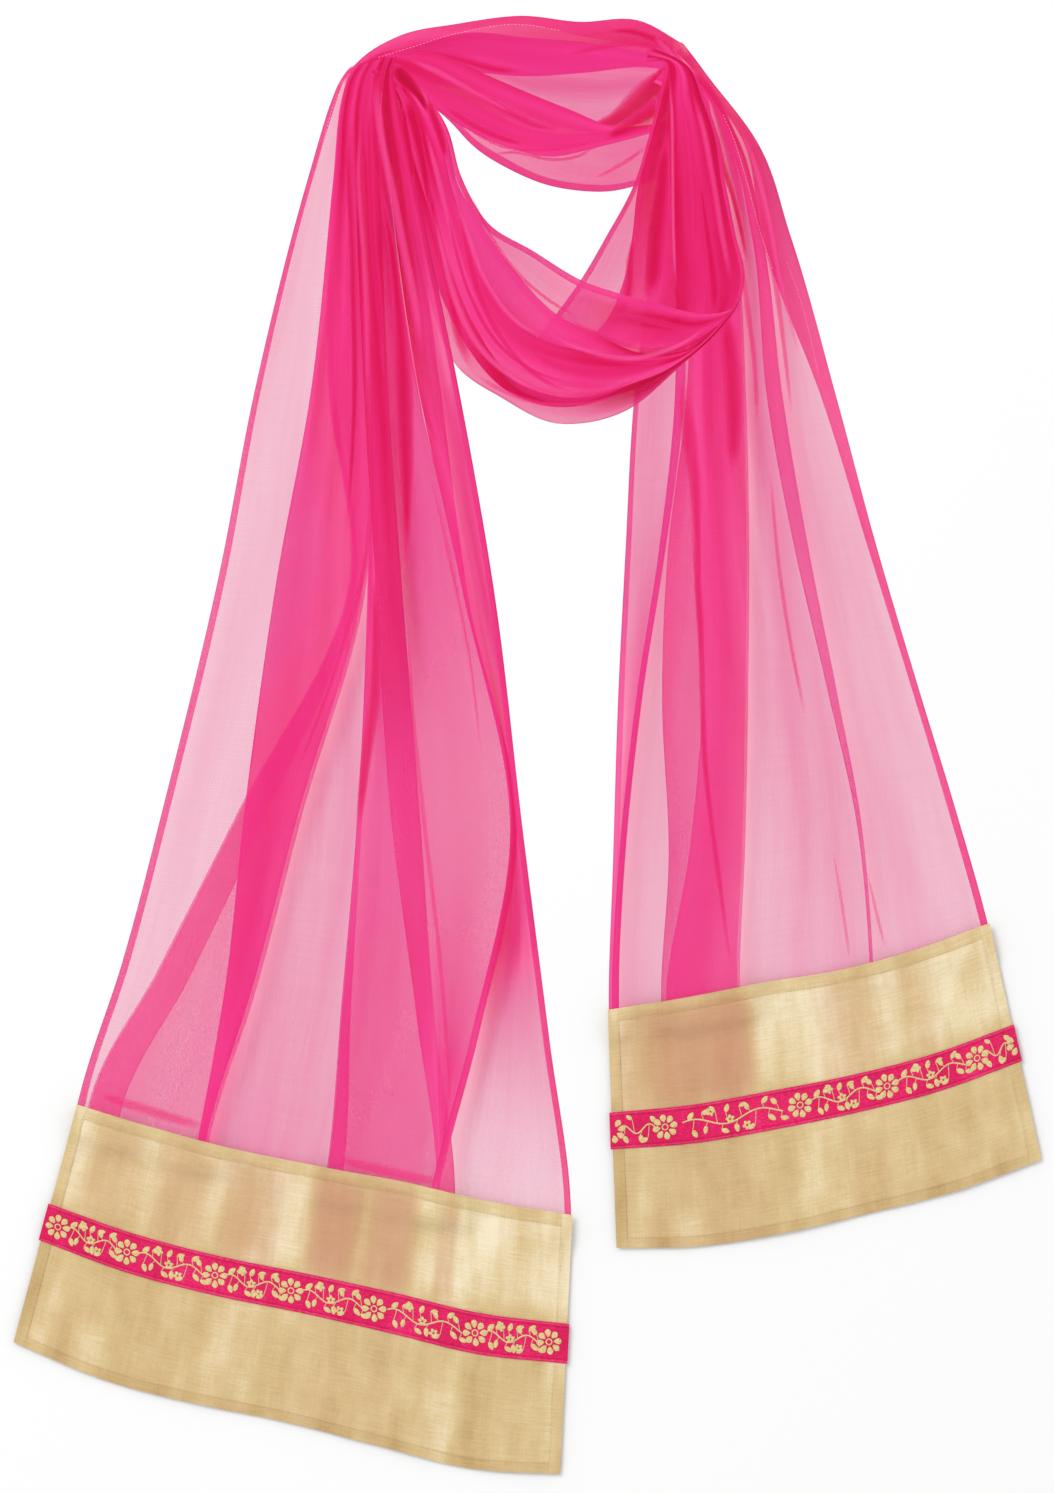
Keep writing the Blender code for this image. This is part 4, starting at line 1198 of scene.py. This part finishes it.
def motif_patches(flowers, length, flower_mm):
    """All flowers, vines, leaves, buds and blossoms of one ribbon, as patches in ribbon places."""
    patches = []
    radius = flower_mm / 2
    for centre in flowers:
        # Eight petals round a raised ring
        turns = np.radians(np.arange(8) * 45 + 10)
        foot = PETAL_FOOT * radius
        patches.append(petals(centre + foot * np.cos(turns), foot * np.sin(turns), turns,
                              np.full(8, PETAL_LENGTH * radius), np.full(8, PETAL_WIDTH * radius),
                              tip=1.35))
        bearing = np.linspace(0, 2 * np.pi, 17)
        eye = FLOWER_EYE * radius
        patches.append(thread_band(centre + eye * np.cos(bearing), eye * np.sin(bearing),
                                   width=0.9, lift=0.3))
    for start, end in zip(flowers[:-1], flowers[1:]):
        u, v = vine_places(start, end)
        patches.append(thread_band(u, v, width=1.0, lift=0.2))
        leaf = np.array(LEAVES)
        if end - start < FULL_GAP_MM:
            leaf = leaf[1::3]
        leaf_u = start + (end - start) * leaf[:, 0]
        leaf_v = np.clip(leaf[:, 1], -LEAF_REACH_MM, LEAF_REACH_MM)
        turn = np.radians(leaf[:, 2])
        patches.append(petals(leaf_u, leaf_v, turn, leaf[:, 3], leaf[:, 4]))
        # A stalk joins each leaf to the nearest place ahead of it on the vine
        stalk = np.linspace(0, 1, 6)
        foot_u = leaf_u + 1.5
        foot_v = np.interp(foot_u, u, v)
        for k in range(len(leaf)):
            su = leaf_u[k] + (foot_u[k] - leaf_u[k]) * stalk
            sv = leaf_v[k] + (foot_v[k] - leaf_v[k]) * stalk ** 1.5
            patches.append(thread_band(su, sv, width=0.5, lift=0.12))
        if end - start > FULL_GAP_MM:
            for share, height in BLOSSOMS:
                turns = np.radians(np.arange(5) * 72 + 200 * share)
                middle = start + (end - start) * share
                patches.append(petals(middle + 0.6 * np.cos(turns), height + 0.6 * np.sin(turns), turns,
                                      np.full(5, 2.9), np.full(5, 2.3)))
    kept = []
    for u, v, up in patches:
        inside = (u.min(axis=(1, 2)) > PATTERN_END_MM) & (u.max(axis=(1, 2)) < length - PATTERN_END_MM)
        inside &= np.abs(v).max(axis=(1, 2)) < PATTERN_REACH_MM
        if inside.any():
            kept.append((u[inside], v[inside], up[inside]))
    return kept


def sew_motifs(name, lines, height, flowers, flower_mm, thread):
    """The ribbon's woven pattern as one raised piece."""
    verts, faces, count = [], [], 0
    length = travelled((lines[0] + lines[1]) / 2)[-1]
    for u, v, up in motif_patches(flowers, length, flower_mm):
        points = on_ribbon(lines, height, u, v)
        points[..., 2] += up
        rows, columns = u.shape[1:]
        shapes = grid_faces(rows, columns)[None] + (rows * columns * np.arange(len(u)))[:, None, None]
        verts.append(points.reshape(-1, 3))
        faces.append(shapes.reshape(-1, 4) + count)
        count += points[..., 0].size
    made = link_mesh(name, np.concatenate(verts), np.concatenate(faces), thread)
    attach(made, "root")
    return made


# Operators: one for each piece or group of like pieces

class DUPATTA_OT_neck(Operator):
    """Lay the two passes of cloth behind the neck"""
    bl_idname = "dupatta.neck"
    bl_label = "Neck passes"

    def execute(self, context):
        HEAP.top[:] = 0.0
        lay_stretch("neck_pass_upper", "neck_back_upper", table_points(NECK_UPPER_FOLDS),
                    NECK_UPPER_DENSITY)
        lay_stretch("neck_pass_lower", "neck_back_lower", table_points(NECK_LOWER_FOLDS),
                    NECK_LOWER_DENSITY)
        return {"FINISHED"}


class DUPATTA_OT_tail_right(Operator):
    """Lay the right tail with its deep pleat"""
    bl_idname = "dupatta.tail_right"
    bl_label = "Right tail"

    def execute(self, context):
        rows = tail_rows(RIGHT_TAIL_STATIONS, RIGHT_TAIL_FOLDS, ("inner edge", "outer edge"))
        lay_stretch("tail_right_cloth", "tail_right", rows, RIGHT_TAIL_DENSITY)
        return {"FINISHED"}


class DUPATTA_OT_loop(Operator):
    """Lay the inner half of the loop and the cowl in front"""
    bl_idname = "dupatta.loop"
    bl_label = "Loop and cowl"

    def execute(self, context):
        lay_stretch("loop_fall_cloth", "loop_fall", table_points(LOOP_FALL_FOLDS), LOOP_FALL_DENSITY)
        lay_stretch("cowl_cloth", "cowl_front", table_points(COWL_FOLDS), COWL_DENSITY)
        return {"FINISHED"}


class DUPATTA_OT_tail_left(Operator):
    """Lay the left tail over the cowl"""
    bl_idname = "dupatta.tail_left"
    bl_label = "Left tail"

    def execute(self, context):
        rows = tail_rows(LEFT_TAIL_STATIONS, LEFT_TAIL_FOLDS, ("outer edge", "inner edge"))
        lay_stretch("tail_left_cloth", "tail_left", rows, LEFT_TAIL_DENSITY)
        return {"FINISHED"}


class DUPATTA_OT_stitches(Operator):
    """Sew the body cloth's hems with fine running stitches"""
    bl_idname = "dupatta.stitches"
    bl_label = "Hem stitches"

    def execute(self, context):
        thread = shared_material("thread_cotton_pale_pink", thread_material, "#F9B4CF", "#EA6C9F")
        made = stitches("body_hem_stitches", BODY_STITCHES, thread,
                        pitch_mm=2.6, length_mm=1.5, wide_mm=0.42, lift_mm=0.5)
        return {"FINISHED"}


class DUPATTA_OT_borders(Operator):
    """Sew the gold tissue panels to the ends of the tails"""
    bl_idname = "dupatta.borders"
    bl_label = "Gold panels"

    def execute(self, context):
        _, border, _ = settings()
        hem = border.hem / MM
        tissue = shared_material("tissue_gold_satin", tissue_material)
        thread = shared_material("thread_silk_gold", thread_material, "#E0C998", "#BB9C63")
        for side, edges, band, blush, flat in (
                ("left", LEFT_BORDER_EDGES, LEFT_RIBBON, LEFT_BLUSH, (0.40, 0.19)),
                ("right", RIGHT_BORDER_EDGES, RIGHT_RIBBON, RIGHT_BLUSH, (0.31, 0.175))):
            made = sheet_object("border_" + side + "_cloth", lay_panel(edges, band, blush, hem), tissue)
            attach(made, "root")
            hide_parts("border_" + side)
            sewn = stitches("border_" + side + "_stitches", hem_paths(edges, hem), thread,
                            pitch_mm=2.4, length_mm=1.6, wide_mm=0.34, lift_mm=0.2)
        return {"FINISHED"}


class DUPATTA_OT_ribbons(Operator):
    """Lay the woven ribbon across each gold panel, with its flowers and vine"""
    bl_idname = "dupatta.ribbons"
    bl_label = "Ribbons"

    def execute(self, context):
        _, border, _ = settings()
        ground = shared_material("ribbon_jacquard_ground", ribbon_material)
        floss = shared_material("floss_rayon_gold", thread_material, border.motif, "#C2A868")
        sewing = shared_material("thread_cotton_crimson", thread_material, "#EE5C8E", "#B80C48")
        for side, edges, band, flowers, flat in (
                ("left", LEFT_BORDER_EDGES, LEFT_RIBBON, LEFT_FLOWERS, (0.395, 0.027)),
                ("right", RIGHT_BORDER_EDGES, RIGHT_RIBBON, RIGHT_FLOWERS, (0.305, 0.027))):
            lines = panel_lines(edges, band[0], band[1], RIBBON_PROUD_MM)
            grid = lay_strips(lines, ((1, 1, 0, 1),), layer_mm=0.5, turn_mm=1.0,
                              falls=(False, False), pitch_mm=1.3)
            # Along each side a dark rim, a bright line 1.5 mm in and a dark one 2.6 mm in
            inward = np.minimum(grid.across, grid.across.max() - grid.across)
            dark, bright = (np.exp(-((inward - place) / 0.5) ** 2) for place in (2.6, 1.5))
            selvedge = 0.30 * dark - 0.55 * bright + 0.3 * (inward < 0.5)
            grid = grid._replace(values={"selvedge": selvedge})
            ends = int(RIBBON_FOLD_MM / RIBBON_STEP_MM) + 2
            folds = [grid._replace(points=grid.points[part] + (0, 0, RIBBON_LIFT_MM),
                                   across=grid.across[part], along=grid.along[part],
                                   values={"selvedge": selvedge[part] + 0.06})
                     for part in (slice(0, ends), slice(-ends, None))]
            made = sheet_object("ribbon_" + side + "_cloth", [grid, *folds], ground)
            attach(made, "root")
            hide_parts("ribbon_" + side)

            middle = (lines[0] + lines[1]) / 2
            far = travelled(middle)
            places = np.interp(chart(np.stack([flowers, flowers], axis=1))[:, 0], middle[:, 0], far)
            height = grid.points[..., 2].max(axis=1)
            height[:ends] += RIBBON_LIFT_MM
            height[-ends:] += RIBBON_LIFT_MM
            motif = sew_motifs("ribbon_" + side + "_motifs", lines, height, places,
                               border.flower / MM, floss)
            # Stitches across both turned ends, then along both edges
            across = np.linspace(0.06, 0.94, 5)[:, None]
            paths = []
            for place in (RIBBON_FOLD_MM, far[-1] - RIBBON_FOLD_MM):
                top, foot = (point_at(line, far, place) for line in lines)
                paths.append(chart_path(top + (foot - top) * across))
            for share in (0.055, 0.945):
                paths.append(chart_path(lines[0] + (lines[1] - lines[0]) * share)[1:-1:3])
            sewn = stitches("ribbon_" + side + "_stitches", paths, sewing,
                            pitch_mm=2.2, length_mm=1.4, wide_mm=0.3, lift_mm=0.45)
        return {"FINISHED"}


class DUPATTA_OT_stage(Operator):
    """Set the pale floor, the soft light and the camera"""
    bl_idname = "dupatta.stage"
    bl_label = "Stage"

    def execute(self, context):
        _, _, stage = settings()
        # Matt paper: pale all over, with a faint tooth
        material, tree, shader = new_material("floor_matt_paper")
        tree.links.new(grain(tree, 0.05, dots(tree, 400.0, 2.0)), shader.inputs["Normal"])
        shader.inputs["Base Color"].default_value = linear(stage.floor)
        shader.inputs["Roughness"].default_value = 0.9
        shader.inputs["Specular IOR Level"].default_value = 0.0
        corners = np.array([(-1, -1), (1, -1), (1, 1), (-1, 1)]) * FLOOR_HALF_MM
        corners = np.column_stack([corners, np.full(4, -FLOOR_DROP_MM)])
        floor = link_mesh("floor", corners, np.array([(0, 1, 2, 3)]), material)

        lamp = bpy.data.lights.new("key_softbox", "AREA")
        lamp.shape = "RECTANGLE"
        lamp.size, lamp.size_y = KEY_SIDES
        lamp.energy = stage.key
        key = bpy.data.objects.new("key_softbox", lamp)
        key.location = KEY_PLACE
        # The lamp looks back at the middle of the cloth
        x, y, z = key.location
        key.rotation_euler = (math.atan2(math.hypot(x, y), z), 0.0, math.atan2(y, x) + math.pi / 2)
        context.scene.collection.objects.link(key)

        world = bpy.data.worlds.new("even_light")
        context.scene.world = world
        world.use_nodes = True
        world.node_tree.nodes["Background"].inputs[0].default_value = (1, 1, 1, 1)
        world.node_tree.nodes["Background"].inputs[1].default_value = stage.sky

        tall = PHOTO_FRAME[1] * CHART_MM * MM
        view = bpy.data.cameras.new("camera")
        view.sensor_fit = "VERTICAL"
        view.sensor_height = SENSOR_MM
        view.lens = SENSOR_MM * CAMERA_HEIGHT / tall
        camera = bpy.data.objects.new("camera", view)
        middle = chart((PHOTO_FRAME[0] / 2, PHOTO_FRAME[1] / 2)) * MM
        camera.location = (middle[0], middle[1], CAMERA_HEIGHT)
        context.scene.collection.objects.link(camera)
        context.scene.camera = camera
        context.scene.view_settings.view_transform = "Standard"
        context.scene.cycles.transparent_max_bounces = 64
        return {"FINISHED"}


OPERATORS = (DUPATTA_OT_neck, DUPATTA_OT_tail_right, DUPATTA_OT_loop, DUPATTA_OT_tail_left,
             DUPATTA_OT_stitches, DUPATTA_OT_borders, DUPATTA_OT_ribbons, DUPATTA_OT_stage)


class DUPATTA_PT_panel(Panel):
    """Lists the dupatta's pieces and their sizes"""
    bl_label = "Dupatta"
    bl_space_type = "VIEW_3D"
    bl_region_type = "UI"
    bl_category = "Dupatta"

    def draw(self, context):
        for group in settings():
            box = self.layout.box()
            for name in group.bl_rna.properties.keys():
                if name not in ("rna_type", "name"):
                    box.prop(group, name)
        for operator in OPERATORS:
            self.layout.operator(operator.bl_idname)


GROUPS = (ClothSettings, BorderSettings, StageSettings)


def register():
    for item in GROUPS + OPERATORS + (DUPATTA_PT_panel,):
        bpy.utils.register_class(item)
    bpy.types.Scene.dupatta_cloth = PointerProperty(type=ClothSettings)
    bpy.types.Scene.dupatta_border = PointerProperty(type=BorderSettings)
    bpy.types.Scene.dupatta_stage = PointerProperty(type=StageSettings)


def unregister():
    del bpy.types.Scene.dupatta_stage
    del bpy.types.Scene.dupatta_border
    del bpy.types.Scene.dupatta_cloth
    for item in reversed(GROUPS + OPERATORS + (DUPATTA_PT_panel,)):
        bpy.utils.unregister_class(item)


def main():
    register()
    for operator in OPERATORS:
        group, name = operator.bl_idname.split(".")
        getattr(getattr(bpy.ops, group), name)()


if __name__ == "__main__":
    main()
